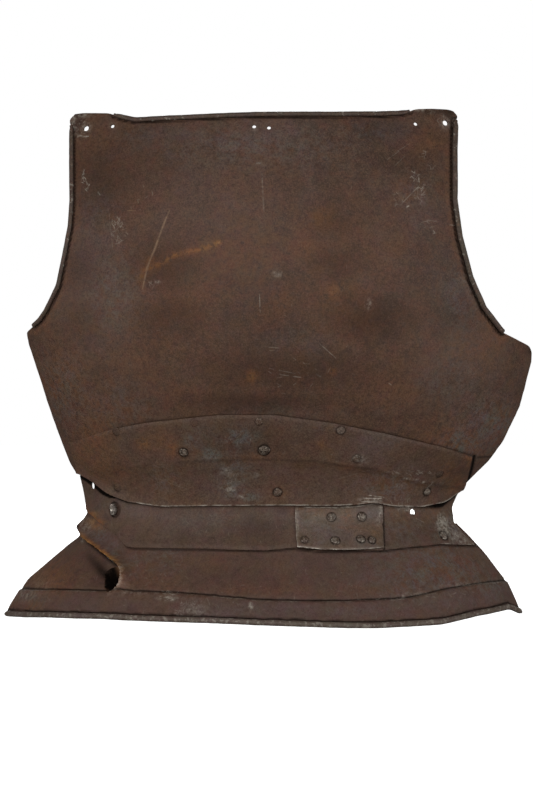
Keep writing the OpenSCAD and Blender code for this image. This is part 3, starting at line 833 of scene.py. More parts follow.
def stage_material(name, colour, glow):
    m = Nodes(name)
    m.bsdf.inputs["Base Color"].default_value = (*colour, 1)
    m.bsdf.inputs["Roughness"].default_value = 0.9
    m.bsdf.inputs["Specular IOR Level"].default_value = 0.1
    m.bsdf.inputs["Emission Color"].default_value = (1, 1, 1, 1)
    m.bsdf.inputs["Emission Strength"].default_value = glow
    return m.mat


DEEP, WARM, COOL = (0.053, 0.033, 0.025), (0.082, 0.046, 0.030), (0.073, 0.056, 0.050)
MAT = {
    "main": iron("iron_main", DEEP, WARM, COOL, seed=0.0, grain=1.12, mottle=1.22),
    "band": iron("iron_band", (0.064, 0.042, 0.032), (0.082, 0.052, 0.036), (0.080, 0.063, 0.055), seed=2.3, wear=0.9, grain=1.15),
    "waist": iron("iron_waist", (0.064, 0.043, 0.034), (0.076, 0.050, 0.038), (0.078, 0.061, 0.053), seed=4.1, wear=0.9, grain=0.8),
    "patch": iron("iron_patch", (0.076, 0.058, 0.046), (0.088, 0.062, 0.045), (0.088, 0.078, 0.068), seed=5.6, wear=0.9, rough=0.5, spec=0.4),
    "skirt": iron("iron_skirt", (0.064, 0.041, 0.034), (0.076, 0.048, 0.039), (0.080, 0.062, 0.056), seed=7.2, wear=0.8, grain=0.7, turned=ROLL_PALE, fleck=0.54, mottle=0.72),
    "rivet": iron("iron_rivet", (0.050, 0.036, 0.028), (0.070, 0.047, 0.034), (0.076, 0.062, 0.052), seed=9.4, wear=0.4, rough=0.52, spec=0.36),
    "wire": iron("iron_wire", (0.040, 0.028, 0.021), (0.052, 0.033, 0.022), (0.056, 0.044, 0.036), seed=11.0, wear=0.2),
    "belt": iron("iron_belt_rivet", (0.12, 0.12, 0.12), (0.18, 0.18, 0.175), (0.26, 0.27, 0.275), seed=12.5, wear=1.0, rough=0.36, spec=0.6),
    "washer": iron("iron_washer", (0.075, 0.058, 0.046), (0.095, 0.066, 0.048), (0.11, 0.095, 0.08), seed=13.7, wear=0.5),
}

# --- outlines, as in the part's source -------------------------------------------------
MAIN_LEFT = [[116, -158], [121, -160.5], [130, -165.6], [147, -172], [171, -180], [214, -193], [229, -197.6], [239, -198.6],
             [249, -185.6], [257, -179.6], [276, -169.6], [303, -163.6], [324, -159.6], [345, -158.6], [408, -160.3],
             [410.5, -161.8], [414.5, -161.6], [418, -157]]
MAIN_RIGHT = [[112, 168], [116, 171], [133, 188], [150, 200], [178, 213], [202, 219], [216, 222.6], [224, 222.8],
              [229, 220], [232, 212], [235, 205], [240, 193], [259, 177], [282, 166], [315, 157], [345, 153], [388, 154],
              [412, 155.4], [414.5, 157.2], [417.5, 157.4], [420, 153.5]]
MAIN_LOW = [[-165, 120], [-152, 123], [-138, 128], [-120, 131], [-83, 133], [-40, 135], [0, 136], [36, 135], [60, 131],
            [92, 127], [112, 121], [125, 117], [142, 114.4], [160, 112.4], [172, 111]]
MAIN_TOP = [[-162, 417], [-150, 418], [-129, 417], [-125.5, 415.7], [-118, 413.4], [-107, 410.5], [-60, 412], [-8, 414], [60, 414.5],
            [90, 415.4], [108, 416.4], [116, 418], [122, 420.4], [135, 421.4], [150, 421.4], [156, 419.6]]
BAND_TOP = [[-170, 148], [-163, 147], [-128, 158], [-97, 164], [-38, 170], [7, 170], [51, 164], [96, 155],
            [143, 144], [177, 134]]
BAND_LOW = [[-158, 119], [-146, 112], [-134, 103], [-117, 97], [-89, 94], [-38, 96], [22, 97], [67, 94], [82, 97],
            [107, 94], [129, 93], [149, 97], [160, 104], [171, 111]]
BAND_LEFT = [[0, -157], [0.5, -161], [1, -164]]
BAND_RIGHT = [[0, 164.8], [0.15, 165.8], [0.4, 166.8], [0.7, 167.8], [1, 168.8]]
WAIST_TOP = [[-158, 118], [-100, 119], [0, 120], [100, 118], [133, 112], [166, 109.5]]
WAIST_LOW = [[-153, 87], [-128, 74], [-116, 62], [-51, 62], [1, 61], [24, 63], [94, 60], [116, 62], [146, 64], [175, 62]]
WAIST_LEFT = [[0, -153], [0.3, -154], [1, -158]]
WAIST_RIGHT = [[0, 177], [0.15, 167.2], [0.35, 158.8], [0.6, 158.6], [0.8, 162.6], [1, 167.6]]
SKIRT_TOP = [[-161, 89], [-145, 86], [-131, 83], [-119, 83], [-105, 88], [-60, 92], [60, 92], [110, 90], [150, 84], [160, 80]]
SKIRT_LOW = [[-224, 2], [-180, 6], [-133, 7.6], [-50, 6.8], [31, 4], [86, 2], [142, 2.6], [172, 7], [204, 9.6], [216, 3.4]]
SKIRT_LEFT = [[0, -221.9], [0.07, -219.6], [0.14, -215.6], [0.2, -211.8], [0.34, -204], [0.62, -174.4], [0.78, -161], [0.88, -161],
              [1, -154]]
SKIRT_RIGHT = [[0, 216.6], [0.12, 212.2], [0.34, 202.6], [0.67, 185.2], [0.88, 171.8], [1, 162.4]]

UPPER = [[-122, 157], [-58, 164], [-6, 165], [60, 158]]
MIDDLE = [[-67, 140], [73, 135], [142, 122]]
REPAIR = [-2, 142]
LOWER = [[-123, 110], [9, 107], [133, 106]]
PATCH_UPPER = [[53, 86], [78, 86]]
PATCH_LOWER = [[31, 68], [56, 67], [77, 68], [86, 67]]
FLUSH = [[-29, 86], [-45, 68]]
CORNER = [148, 70]
BELT = [-126, 91]
BELT_EMPTY = [122, 89]
CORNER_HOLES = [[-148, 405], [147, 410]]
LACE_HOLES = [[-126, 406], [122, 408], [-10, 404], [2, 403]]

WAIST_OUT = -T
PATCH_OUT = WAIST_OUT + GAP + 0.2 + T
SKIRT_OUT = WAIST_OUT - T - GAP - 0.1
BAND_OUT = GAP + T


def soft(t, tab, r):
    """A straight-run table with its corners rounded over r either way."""
    return sum(line(t + r * k, tab) for k in (-1, -0.6, -0.2, 0.2, 0.6, 1)) / 6


def ragged(path, amp, cell, seed, inward=True):
    """Wears an edge back unevenly: moves points along the path's inner side."""
    p = np.asarray(path, float)
    t = np.gradient(p, axis=0)
    t /= np.linalg.norm(t, axis=1, keepdims=True) + 1e-9
    n = np.stack([-t[:, 1], t[:, 0]], -1)
    s = np.concatenate([[0], np.cumsum(np.linalg.norm(np.diff(p, axis=0), axis=1))])
    w = 0.5 + 0.5 * (0.65 * noise(s, s * 0 + seed * 13.7, cell, 40) + 0.35 * noise(s, s * 0 + seed * 7.1, cell * 0.4, 41))
    return p + n * (amp * w)[:, None]


# --- the main plate --------------------------------------------------------------------
def main_x(u, v):
    return mix(soft(mix(121, 418, v), MAIN_LEFT, 1.2), soft(mix(113.5, 420, v), MAIN_RIGHT, 1.2), u)


def outline_main(step):
    """Counter-clockwise seen from outside, from the lower left corner."""
    n = 420
    v = np.linspace(0, 1, 700)
    xl, zl = main_x(0.0, v), np.zeros_like(v)
    zl = mix(line(xl, MAIN_LOW), soft(xl, MAIN_TOP, 2), v)
    xr = main_x(1.0, v)
    zr = mix(line(xr, MAIN_LOW), soft(xr, MAIN_TOP, 2), v)
    xb = np.linspace(xl[0], xr[0], n)
    bottom = np.stack([xb, line(xb, MAIN_LOW)], -1)
    xt = np.linspace(xr[-1], xl[-1], n)
    top = np.stack([xt, soft(xt, MAIN_TOP, 2)], -1)
    right = np.stack([xr, zr], -1)
    left = np.stack([xl, zl], -1)[::-1]
    top[0], top[-1] = right[-1], left[0]
    parts = [even(bottom, 2.4), even(right, step), even(top, step), even(left, step)]
    return parts


def even(path, step):
    """The same path with points a fixed step apart on the curved sheet."""
    p = np.asarray(path, float)
    q = on_body(p[:, 0], p[:, 1], 0)
    s = np.concatenate([[0], np.cumsum(np.linalg.norm(np.diff(q, axis=0), axis=1))])
    n = max(2, int(round(s[-1] / step)))
    t = np.linspace(0, s[-1], n + 1)
    return np.stack([np.interp(t, s, p[:, 0]), np.interp(t, s, p[:, 1])], -1)


def join(parts):
    """Closes the parts into one outline. Gives the outline and where each part starts."""
    out, starts, at = [], [], 0
    for p in parts:
        starts.append(at)
        out.append(p[:-1])
        at += len(p) - 1
    return np.vstack(out), starts + [at]


bottom, right, top, left = outline_main(1.7)
# armpit tips are chipped, and the plain lower side edges are a little worn
armpit_r = int(np.argmax(right[:, 0]))
low_r = np.arange(len(right)) < armpit_r - 4
right[low_r] = np.where(low_r[:, None], ragged(right, 0.5, 7, 3), right)[low_r]
armpit_l = int(np.argmin(left[:, 0]))
low_l = np.arange(len(left)) > armpit_l + 2
left[low_l] = ragged(left, 0.5, 7, 5)[low_l]
for dx, dz, depth_in, w in ((-194, 232, 1.8, 2.2), (-191, 224, 1.1, 2.5), (-186, 205, 0.8, 3.5)):
    d = np.hypot((left[:, 0] - dx), left[:, 1] - dz)
    left[:, 0] += np.where(low_l, depth_in * np.exp(-(d / w) ** 2), 0)
main_outline, main_at = join([bottom, right, top, left])
N_MAIN = len(main_outline)


def between(part, test):
    """Indices into the joined outline of the stretch of one part where test holds."""
    pts = (bottom, right, top, left)[part]
    ks = [k for k in range(len(pts)) if test(pts[k][0], pts[k][1])]
    return [(main_at[part] + k) % N_MAIN for k in range(min(ks), max(ks) + 1)]


run_right = between(1, lambda x, z: 238 < z < 413)
run_neck = between(2, lambda x, z: -125 < x < 117)
run_left = between(3, lambda x, z: 243 < z < 409)
RUN_PATHS = [(main_outline[run_right], 2.9), (main_outline[run_neck], 2.5), (main_outline[run_left], 2.4)]


def roll_shape(seed, swell, flat_amount=0.10, fade=(0.0, 0.0)):
    def shape(t, P):
        s = np.concatenate([[0], np.cumsum(np.linalg.norm(np.diff(P, axis=0), axis=1))])
        a = noise(s, s * 0 + seed, 22, 50) * 0.5 + noise(s, s * 0 + seed * 3, 7, 51) * 0.3
        rr = 1 + swell * (a * 0.5)
        # a turned edge may be hammered flatter where it stops
        rr = rr * (1 - fade[0] * (1 - ease(s / 7.0))) * (1 - fade[1] * (1 - ease((s[-1] - s) / 7.0)))
        tt = T * (0.90 + 0.07 * noise(s, s * 0 + seed * 5, 5, 52))
        tt = tt * (1 - 0.6 * fade[0] * (1 - ease(s / 5.0))) * (1 - 0.6 * fade[1] * (1 - ease((s[-1] - s) / 5.0)))
        flat = 1 - flat_amount * (0.5 + 0.5 * noise(s, s * 0 + seed * 7, 12, 53))
        return rr, tt, flat
    return shape


def edge_thin(x, z, tab, keep=0.45, over=2.2, below=False):
    """Share of the sheet's thickness left near a feathered edge."""
    d = (z - line(x, tab)) if below else (line(x, tab) - z)
    return keep + (1 - keep) * ease(np.clip(d, 0, 99) / over)


# Tinted places on the outer faces: x, z, radius across, radius up, strength
MAIN_RUST = [[-140, 160, 24, 34, 0.42], [-20, 290, 40, 46, 0.22], [-78, 232, 46, 50, 0.22], [62, 262, 34, 36, 0.26],
             [43, 330, 10, 9, 0.5], [33, 303, 7, 10, 0.5], [54, 268, 8, 9, 0.55], [-11.6, 201, 5, 6, 0.9],
             [53, 205, 3.5, 3.5, 0.7], [-140, 396, 16, 12, 0.30], [136, 393, 12, 9, 0.38], [112, 352, 9, 14, 0.3],
             [-48, 268, 26, 20, 0.28], [10, 262, 16, 22, 0.28], [128, 398, 22, 14, 0.25], [-128, 330, 12, 10, 0.12],
             [158, 146, 34, 22, 0.75], [196, 158, 22, 20, 0.65], [-170, 196, 22, 30, 0.42], [98, 196, 26, 20, 0.16], [82, 259, 5, 6, 0.35],
             [-96, 262, 14, 10, 0.3], [168, 224, 26, 14, 0.22]]
MAIN_BLUE = [[-125, 272, 24, 34, 0.42], [158, 262, 16, 34, 0.42], [-15, 388, 78, 20, 0.42], [122, 348, 20, 26, 0.3],
             [-135, 330, 20, 24, 0.3], [150, 200, 26, 22, 0.3], [84, 400, 30, 8, 0.4], [-100, 398, 26, 8, 0.35],
             [30, 232, 30, 14, 0.16], [10, 172, 40, 7, 0.2], [186, 160, 26, 22, 0.75], [162, 144, 20, 16, 0.75], [-118, 176, 28, 22, 0.3],
             [-170, 186, 28, 36, 0.36]]
MAIN_LILAC = [[108, 402, 12, 9, 0.8], [4, 398, 30, 9, 0.5], [-146, 300, 18, 26, 0.45], [130, 330, 16, 16, 0.4], [176, 158, 30, 22, 0.35],
              [-40, 350, 50, 40, 0.22], [-70, 396, 26, 8, 0.35]]
# darker places; the broad, faint ones darken the middle of the plate just above the band
MAIN_DARK = [[0, 176, 90, 9, 0.16], [24, 190, 60, 14, 0.10], [50, 212, 120, 44, 0.11], [140, 300, 30, 60, 0.08], [-104, 366, 16, 12, 0.10], [168.5, 268.5, 2.4, 1.0, 0.8],
             [-112, 388, 50, 36, 0.20], [0, 240, 84, 60, 0.15], [0, 184, 80, 14, 0.20], [-156, 417, 5, 4, 0.5], [-155, 408, 3.6, 8, 0.4],
             [150, 419, 7, 3.5, 0.5], [141, 419.6, 8, 2, 0.4], [152, 408, 2.2, 7, 0.6], [128, 418, 9, 2.4, 0.35],
             [-84, 288, 32, 24, 0.32], [-80, 248, 34, 20, 0.32], [82, 247, 40, 22, 0.36], [54, 292, 24, 18, 0.24], [20, 206, 88, 20, 0.34],
             [-10, 180, 70, 10, 0.38], [-136, 362, 34, 40, 0.32], [-150, 248, 22, 16, 0.2], [100, 402, 36, 12, 0.26], [152, 250, 34, 22, 0.18], [54, 326, 22, 18, 0.2],
             [-152, 290, 22, 26, 0.26], [122, 374, 22, 16, 0.18]]
MAIN_PALE = [[-148, 405, 3.8, 3.8, 0.40], [147, 410, 3.8, 3.8, 0.42], [-126, 406, 2.6, 2.6, 0.2], [82, 259, 2.2, 3.4, 0.4],
             [9, 283, 3.5, 2.2, 0.35], [-88, 277, 2.4, 1.4, 0.3], [-9, 402, 2.5, 2.5, 0.2], [126, 421, 6, 2.2, 0.65],
             [-158, 410, 2.5, 9, 0.40], [-152, 416, 7, 1.6, 0.5], [-158.5, 415, 2, 2, 0.6], [155, 410, 2, 3, 0.55], [134, 419, 3, 1.6, 0.6]]
STREAK = [[-101, 279], [-98.9, 285.9], [-84.7, 291.8], [-74.1, 298.4], [-62, 301], [-51.4, 303.6], [-38.1, 308]]


def main_masks(x, z):
    d, place = path_dist(x, z, np.array(STREAK, float))
    streak = 1.0 * np.exp(-(d / 2.4) ** 2) * (0.6 + 0.4 * np.clip(noise(x, z, 5, 60) + 0.5, 0, 1))
    halo = 0.42 * np.exp(-(d / 6.5) ** 2)
    d2, _ = path_dist(x, z, np.array([[-93, 296], [-98.5, 283], [-100, 268]], float))
    rust = np.maximum(blobs(x, z, MAIN_RUST), np.maximum(streak, halo))
    rust = np.maximum(rust, 0.5 * np.exp(-(d2 / 2.4) ** 2))
    ochre = np.maximum(0.92 * np.exp(-(d / 1.8) ** 2) * (0.45 + 0.55 * np.clip(noise(x, z, 4, 63) + 0.5, 0, 1)),
                       blobs(x, z, [[-11.6, 201, 2.6, 3.2, 0.6], [53, 205, 1.8, 1.8, 0.5], [-93, 292, 4, 5, 0.35], [54, 268, 4, 5, 0.25]]))
    dark = blobs(x, z, MAIN_DARK)
    # painted shade in the groove beside each turned edge, and rust along it
    for path, gap in RUN_PATHS:
        r, _ = path_dist(x, z, path)
        dark = np.maximum(dark, 0.88 * np.exp(-((r - gap) / 0.75) ** 2))
        rust = np.maximum(rust, 0.32 * np.exp(-((r - gap - 3) / 2.6) ** 2) * ease((392 - z) / 6))
    # painted shadow along the band's upper edge, and in the slit where its right end stands off
    above = z - line(x, BAND_TOP)
    seen = 0.15 + 0.85 * ease((x + 132) / 34)
    dark = np.maximum(dark, 0.52 * seen * np.exp(-((above - 0.3) / 0.7) ** 2) * (above > -1.5))
    end = path_dist(x, z, SLIT)[0]
    dark = np.maximum(dark, 1.3 * np.exp(-(end / 1.2) ** 2))
    dark = np.maximum(dark, 0.5 * np.exp(-(np.hypot((x - 222) / 3, (z - 224) / 4)) ** 2))
    return {"rust": rust, "ochre": ochre, "blue": blobs(x, z, MAIN_BLUE), "lilac": blobs(x, z, MAIN_LILAC),
            "pale": blobs(x, z, MAIN_PALE), "dark": dark, "wear": 0.35 + 0 * x}


MAIN_STROKES = [
    # the slanting scratch
    [-78.3, 334.2, -80.6, 329, -0.6, 0.95], [-80.6, 329, -84.9, 318, -0.8, 1.1], [-84.9, 318, -88.9, 306, -0.95, 1.25],
    [-88.9, 306, -92.2, 297.9, -0.95, 1.25], [-92.2, 297.9, -96.4, 288, -0.75, 1.0], [-96.4, 288, -99.6, 272, -0.65, 0.95],
    [-80.6, 329, -91.6, 299.6, 0.30, 0.55], [-93.5, 295, -99.3, 274, 0.18, 0.5],
    # a short faint one beside it
    [-112, 335, -105.5, 334.9, -0.6, 0.5],
    [42.9, 226.9, 55.6, 215.7, 0.40, 0.5], [11, 205.6, 23, 203.4, 0.30, 0.5], [22, 200.8, 27.5, 200.2, 0.5, 0.55],
    [12, 202.2, 17, 201.6, 0.32, 0.5], [1.2, 224.3, 10, 223.7, 0.25, 0.5], [3, 221.6, 8.6, 221.3, 0.22, 0.5],
    [-5.6, 266, -5.5, 263, 0.5, 0.55], [-5.4, 261, -5.3, 258.5, 0.5, 0.55], [-5.3, 256.4, -5.1, 253.4, 0.45, 0.55],
    [-3.6, 364, -3.0, 350, 0.24, 0.8], [-3.0, 350, -2.2, 335, 0.2, 0.9], [-7.2, 373.3, -6.2, 373.3, 0.5, 0.7],
    [97.8, 377, 108, 384.5, 0.22, 0.45], [106, 384, 116.3, 391, 0.2, 0.45], [104, 372, 112, 380, 0.18, 0.45],
    [109.5, 341, 122.5, 354.5, 0.35, 0.5], [113.7, 338.2, 114.6, 338.9, 0.7, 0.8], [98.9, 195.5, 100.2, 194.6, 0.3, 0.6],
    [-128, 336, -124.6, 306, 0.16, 0.5], [-136.4, 350, -135.4, 348.8, 0.6, 0.7], [126, 326, 133.5, 327.6, 0.3, 0.45],
    [150, 324.6, 153, 324.2, 0.4, 0.5],
]
MAIN_STROKES += scuffs(101, 122, 364, 4.5, 4.5, 15, 20, 90, 1.9, 0.75, 0.45)
MAIN_STROKES += scuffs(113, 125, 354, 5, 7, 20, 60, 70, 1.9, 0.6, 0.42)
MAIN_STROKES += scuffs(114, 124, 346, 5, 6, 10, 60, 70, 1.8, 0.42, 0.42)
MAIN_STROKES += scuffs(102, 106.5, 345, 5.5, 6, 14, 70, 70, 2.0, 0.36, 0.42)
MAIN_STROKES += scuffs(103, 128, 383, 3, 4, 7, 35, 70, 1.6, 0.5, 0.42)
MAIN_STROKES += scuffs(104, 134.5, 372, 3, 4, 6, 80, 60, 1.6, 0.42, 0.42)
MAIN_STROKES += scuffs(105, 131.5, 325, 7, 4, 12, 15, 60, 2.0, 0.42, 0.42)
MAIN_STROKES += scuffs(115, 137, 318, 1.5, 1.5, 3, 15, 60, 1.2, 0.5, 0.45)
MAIN_STROKES += scuffs(106, -149.5, 364, 1.6, 7, 16, 84, 60, 1.8, 0.9, 0.48)
MAIN_STROKES += scuffs(116, -146, 356, 1.8, 5, 11, 84, 60, 1.8, 0.6, 0.45)
MAIN_STROKES += [[-154.1, 399.8, -150.6, 398.4, 0.85, 0.55], [-150.6, 398.4, -146, 398.2, 0.8, 0.55]]
MAIN_STROKES += scuffs(107, -150, 398.5, 5, 1.6, 9, 5, 35, 2.2, 0.6, 0.42)
MAIN_STROKES += scuffs(118, -153, 405, 4.5, 7, 16, 20, 90, 1.3, 0.55, 0.42)
MAIN_STROKES += scuffs(119, 147, 411, 7, 6, 16, 20, 90, 1.3, 0.5, 0.42)
MAIN_STROKES += scuffs(108, -121, 326, 4.5, 6, 26, 75, 70, 1.7, 0.66, 0.45)
MAIN_STROKES += scuffs(117, -119, 316, 6, 8, 24, 75, 70, 1.5, 0.42, 0.42)
MAIN_STROKES += scuffs(109, -92, 274.5, 2.5, 2, 6, 80, 60, 1.3, 0.45, 0.42)
MAIN_STROKES += scuffs(110, 14, 262, 120, 110, 46, 40, 90, 1.4, 0.16, 0.4)
MAIN_STROKES += scuffs(111, 20, 203, 34, 12, 16, 10, 60, 2.6, 0.24)
MAIN_STROKES += scuffs(112, -104, 344, 14, 14, 7, 60, 60, 1.8, 0.3)


def flat_offset(o, thin=None):
    def f(x, z):
        return o + relief(x, z) + skin(x, z) * (0 if o < -1 else 1)
    return f


def main_out(x, z):
    """The outer face. The two plain tabs at the top corners, between the turned edges, are beaten slightly outwards."""
    tab = ease((z - 402) / 12) * (ease((-118 - x) / 10) + ease((x - 112) / 8)) * 0.9
    return relief(x, z) + skin(x, z) + tab


def main_in(x, z):
    tab = ease((z - 402) / 12) * (ease((-118 - x) / 10) + ease((x - 112) / 8)) * 0.9
    return -T + relief(x, z) + tab


def rivet_circles(list_, r=1.62):
    return [circle(p[0], p[1], r, 16) for p in list_]


SLIT = np.array([[173, 135.5], [172.2, 125], [170.6, 113]], float)
g_x, g_z = np.linspace(-128, 172, 330), np.linspace(113, 135.5, 36)
s_x = np.interp(g_z, SLIT[::-1, 1], SLIT[::-1, 0])
MAIN_GUIDES = np.vstack([rows_along(g_x, line(g_x, BAND_TOP) + 0.3)] + [np.stack([s_x + k, g_z], -1) for k in (-1.0, -0.4, 0.4, 1.0)])

holes = [circle(p[0], p[1], 2.3, 24, 0.07, 3) for p in CORNER_HOLES] + [circle(p[0], p[1], 1.55, 20, 0.06, 4) for p in LACE_HOLES]
holes += rivet_circles(UPPER) + rivet_circles(MIDDLE) + rivet_circles([REPAIR])
main_ob, main_turns = plate(
    "main_plate_iron", [(main_outline, holes, main_out, main_in)], MAT["main"], ["main_plate"], main_masks,
    runs=[(run_right, 1.3, roll_shape(1, 0.10, fade=(0, 0.5))), (run_neck, 0.9, roll_shape(2, 0.12, fade=(0.45, 0.5))),
          (run_left, 0.8, roll_shape(3, 0.12, fade=(0.5, 0)))],
    step=1.75, step_in=3.6, warp_z=240, strokes=MAIN_STROKES, guides=MAIN_GUIDES)
wire("right_arm_wire", main_turns[0], MAT["wire"], "right_arm_edge_wire", trim=4)
wire("neck_wire", main_turns[1], MAT["wire"], "neck_edge_wire", trim=4)
wire("left_arm_wire", main_turns[2], MAT["wire"], "left_arm_edge_wire", trim=4)


# --- the waist band ----------------------------------------------------------------------
def stepped(x, z):
    return T * ease((line(x, MAIN_LOW) - 0.6 - z) / mix(14.0, 6.0, ease((x + 40) / 130)))


def band_lift(x, z):
    """The band's lower edge stands off the waist plate at its two ends, and is dented at one place."""
    down = ease((line(x, BAND_LOW) + 11 - z) / 11)
    ends = 2.4 * ease((-104 - x) / 36) + 1.8 * ease((x - 120) / 30)
    end = 1.9 * ease((x - 150) / 16)
    dent = 0.9 * np.exp(-((x - 84) / 9) ** 2) * np.exp(-((z - 96) / 3.2) ** 2)
    fold = 0.6 * np.exp(-((x - 86) / 8) ** 2) * (np.exp(-((z - 100.4) / 0.9) ** 2) + 0.8 * np.exp(-((z - 103.4) / 0.9) ** 2))
    return np.maximum(ends * down, end) + dent + fold


def band_out(x, z):
    top = edge_thin(x, z, BAND_TOP, 0.42, 2.6)
    return (BAND_OUT - T) - stepped(x, z) + T * top + relief(x, z) + skin(x + 300, z) + band_lift(x, z)


def band_in(x, z):
    return GAP - stepped(x, z) + relief(x, z) + band_lift(x, z) + 0.02


def four_sided(x_left, x_right, low, high, step, rag=(0.25, 0.25), seed=1, extra_low=None):
    """Outline of a plate between two side curves and two long edges."""
    v = np.linspace(0, 1, 160)
    xl, xr = x_left(v), x_right(v)
    left_ = np.stack([xl, mix(low(xl), high(xl), v)], -1)[::-1]
    right_ = np.stack([xr, mix(low(xr), high(xr), v)], -1)
    xb = np.linspace(xl[0], xr[0], 420)
    xt = np.linspace(xr[-1], xl[-1], 420)
    b, t = np.stack([xb, low(xb)], -1), np.stack([xt, high(xt)], -1)
    parts = [even(b, step), even(right_, step), even(t, step), even(left_, step)]
    fixed = []
    for k, p in enumerate(parts):
        q = ragged(p, rag[k % 2], 6, seed * 10 + k)
        w = ease(np.minimum(np.arange(len(p)), np.arange(len(p))[::-1]) / 4.0)[:, None]
        fixed.append(p + (q - p) * w)
    return join(fixed)[0]


BAND_LOW_FINE = [[-158, 122.4], [-154, 121], [-143.5, 114], [-131.4, 104.6], [-115.4, 98], [-89, 94.4], [-38, 95.4], [14, 95.8], [56, 95.4], [68, 95.7],
                 [75, 96.2], [84, 97.4], [92, 97.2], [98, 95.4], [107, 94.2], [129, 93], [149, 97], [160, 104], [171, 111]]
band_outline = four_sided(lambda v: soft(v, BAND_LEFT, 0.05), lambda v: soft(v, BAND_RIGHT, 0.03),
                          lambda x: soft(x, BAND_LOW_FINE, 3), lambda x: soft(x, BAND_TOP, 4), 1.3, (0.35, 0.3), 2)
BAND_BLUE = [[-21, 152, 13, 8, 1.0], [-44, 139, 10, 6, 0.9], [-60, 149, 8, 7, 0.6], [-26, 127, 12, 8, 0.85],
             [-28, 110, 10, 8, 0.9], [-13, 103, 8, 4, 0.75], [-46, 154, 22, 12, 0.32], [112, 112, 10, 5, 0.3],
             [-36, 140, 26, 10, 0.3], [-24, 118, 20, 20, 0.28], [60, 160, 30, 4, 0.35], [90, 150, 20, 6, 0.3], [140, 112, 12, 6, 0.3],
             [102, 112, 30, 12, 0.5], [-84, 118, 16, 14, 0.35]]
BAND_LILAC = [[84, 143, 15, 12, 0.85], [92, 136, 10, 9, 0.6], [10, 127, 12, 7, 0.55], [-48, 118, 26, 12, 0.35], [12, 166, 14, 5, 0.4],
              [0, 112, 60, 12, 0.2], [118, 126, 18, 9, 0.35]]
BAND_RUST = [[-100, 147, 6, 5, 0.8], [-76, 143, 5, 6, 0.85], [-84, 150, 14, 8, 0.4], [-140, 150, 16, 20, 0.5], [-137, 129, 14, 14, 0.42],
             [-120, 124, 22, 10, 0.3], [169, 135, 7, 9, 0.75], [158, 112, 12, 9, 0.6], [148, 124, 10, 12, 0.4], [9, 107, 7, 6, 0.45],
             [-66, 140, 8, 7, 0.3], [44, 146, 6, 4, 0.5], [66, 128, 10, 4, 0.35], [-8, 136, 20, 5, 0.3], [96, 124, 8, 5, 0.4],
             [-150, 140, 10, 16, 0.5], [108, 114, 26, 10, 0.3], [-84, 116, 18, 14, 0.3]]
BAND_PALE = [[-29, 109, 3.5, 2.5, 0.5], [-20, 103, 3, 1.6, 0.55], [-33, 124, 5, 3, 0.35], [-9, 121, 2.4, 2.2, 0.3], [75, 134, 5, 3.0, 0.4],
             [110, 112, 3, 2, 0.3], [86, 100, 9, 1.6, 0.5]]


def band_masks(x, z):
    low = z - line(x, BAND_LOW_FINE)
    along = ease((x + 120) / 20) * ease((168 - x) / 8)
    step_line = np.exp(-((z - (line(x, MAIN_LOW) - 1.6)) / 1.3) ** 2)
    speck = step_line * ease((x - 92) / 12) * ease((146 - x) / 12) * np.clip(noise(x, z, 2.6, 70) * 1.6, 0, 1)
    # painted shade along the step where the band passes over the main plate's lower edge
    dark = np.maximum(ring_dirt_and_shade(x, z, BAND_RING_DIRT_SHADE), 0.26 * step_line * ease((x + 84) / 30) * ease((104 - x) / 24))
    dark = np.maximum(dark, blobs(x, z, [[-16, 150, 50, 14, 0.2]]))
    return {"rust": blobs(x, z, BAND_RUST), "blue": blobs(x, z, BAND_BLUE), "lilac": blobs(x, z, BAND_LILAC),
            "pale": np.maximum(blobs(x, z, BAND_PALE), 0.75 * speck), "dark": dark,
            "wear": np.where(low < 6, 0.35 + 0.65 * along, 0.28)}


# dark rings round the band's rivet heads: dirt and painted shade; the one-sided ones are painted shadow crescents
BAND_RING_DIRT_SHADE = [(-122, 157, 7, 0.7, 215), (-58, 164, 6.6, 0.14), (-6, 165, 7, 0.2), (60, 158, 7, 0.6), (-67, 140, 7, 0.9),
              (73, 135, 6.8, 0.45), (142, 122, 7, 0.9, -30), (-2, 142, 9, 0.95), (-123, 110, 7, 0.85, 215), (9, 107, 7, 0.85),
              (133, 106, 7, 0.85)]
BAND_STROKES = [[80, 101.6, 94, 101.2, 1.0, 0.62], [85, 103.8, 96, 102.2, 0.9, 0.55], [78, 98.6, 94, 99.2, 1.0, 0.6],
                [-31, 111, -27.5, 108, 0.6, 0.6], [-22, 104.5, -18.5, 102.6, 0.6, 0.6], [106, 99, 118, 100.5, 0.25, 0.45],
                [60, 118, 84, 125, 0.12, 0.45], [-90, 118, -64, 109, 0.10, 0.45], [133, 109, 136, 113, 0.4, 0.6]]
BAND_STROKES += scuffs(120, -30, 118, 12, 12, 26, 60, 80, 1.8, 0.34)
BAND_STROKES += scuffs(121, -22, 152, 11, 6, 16, 40, 80, 1.8, 0.26)
BAND_STROKES += scuffs(122, 118, 123, 22, 2.2, 22, 165, 40, 2.0, 0.5)
BAND_STROKES += scuffs(123, 20, 120, 130, 20, 46, 30, 90, 1.6, 0.18)
BAND_STROKES += scuffs(124, 112, 98, 12, 4, 9, 90, 30, 2.2, 0.35)

def rings(spots):
    """Close points round each head, so that the dark ring in its joint, dirt and painted shade, is a sharp line in the
    mesh.
    """
    return np.vstack([circle(s[0], s[1], s[2] / 2 + k, 26) for s in spots for k in (-0.35, 0.15, 0.65)])


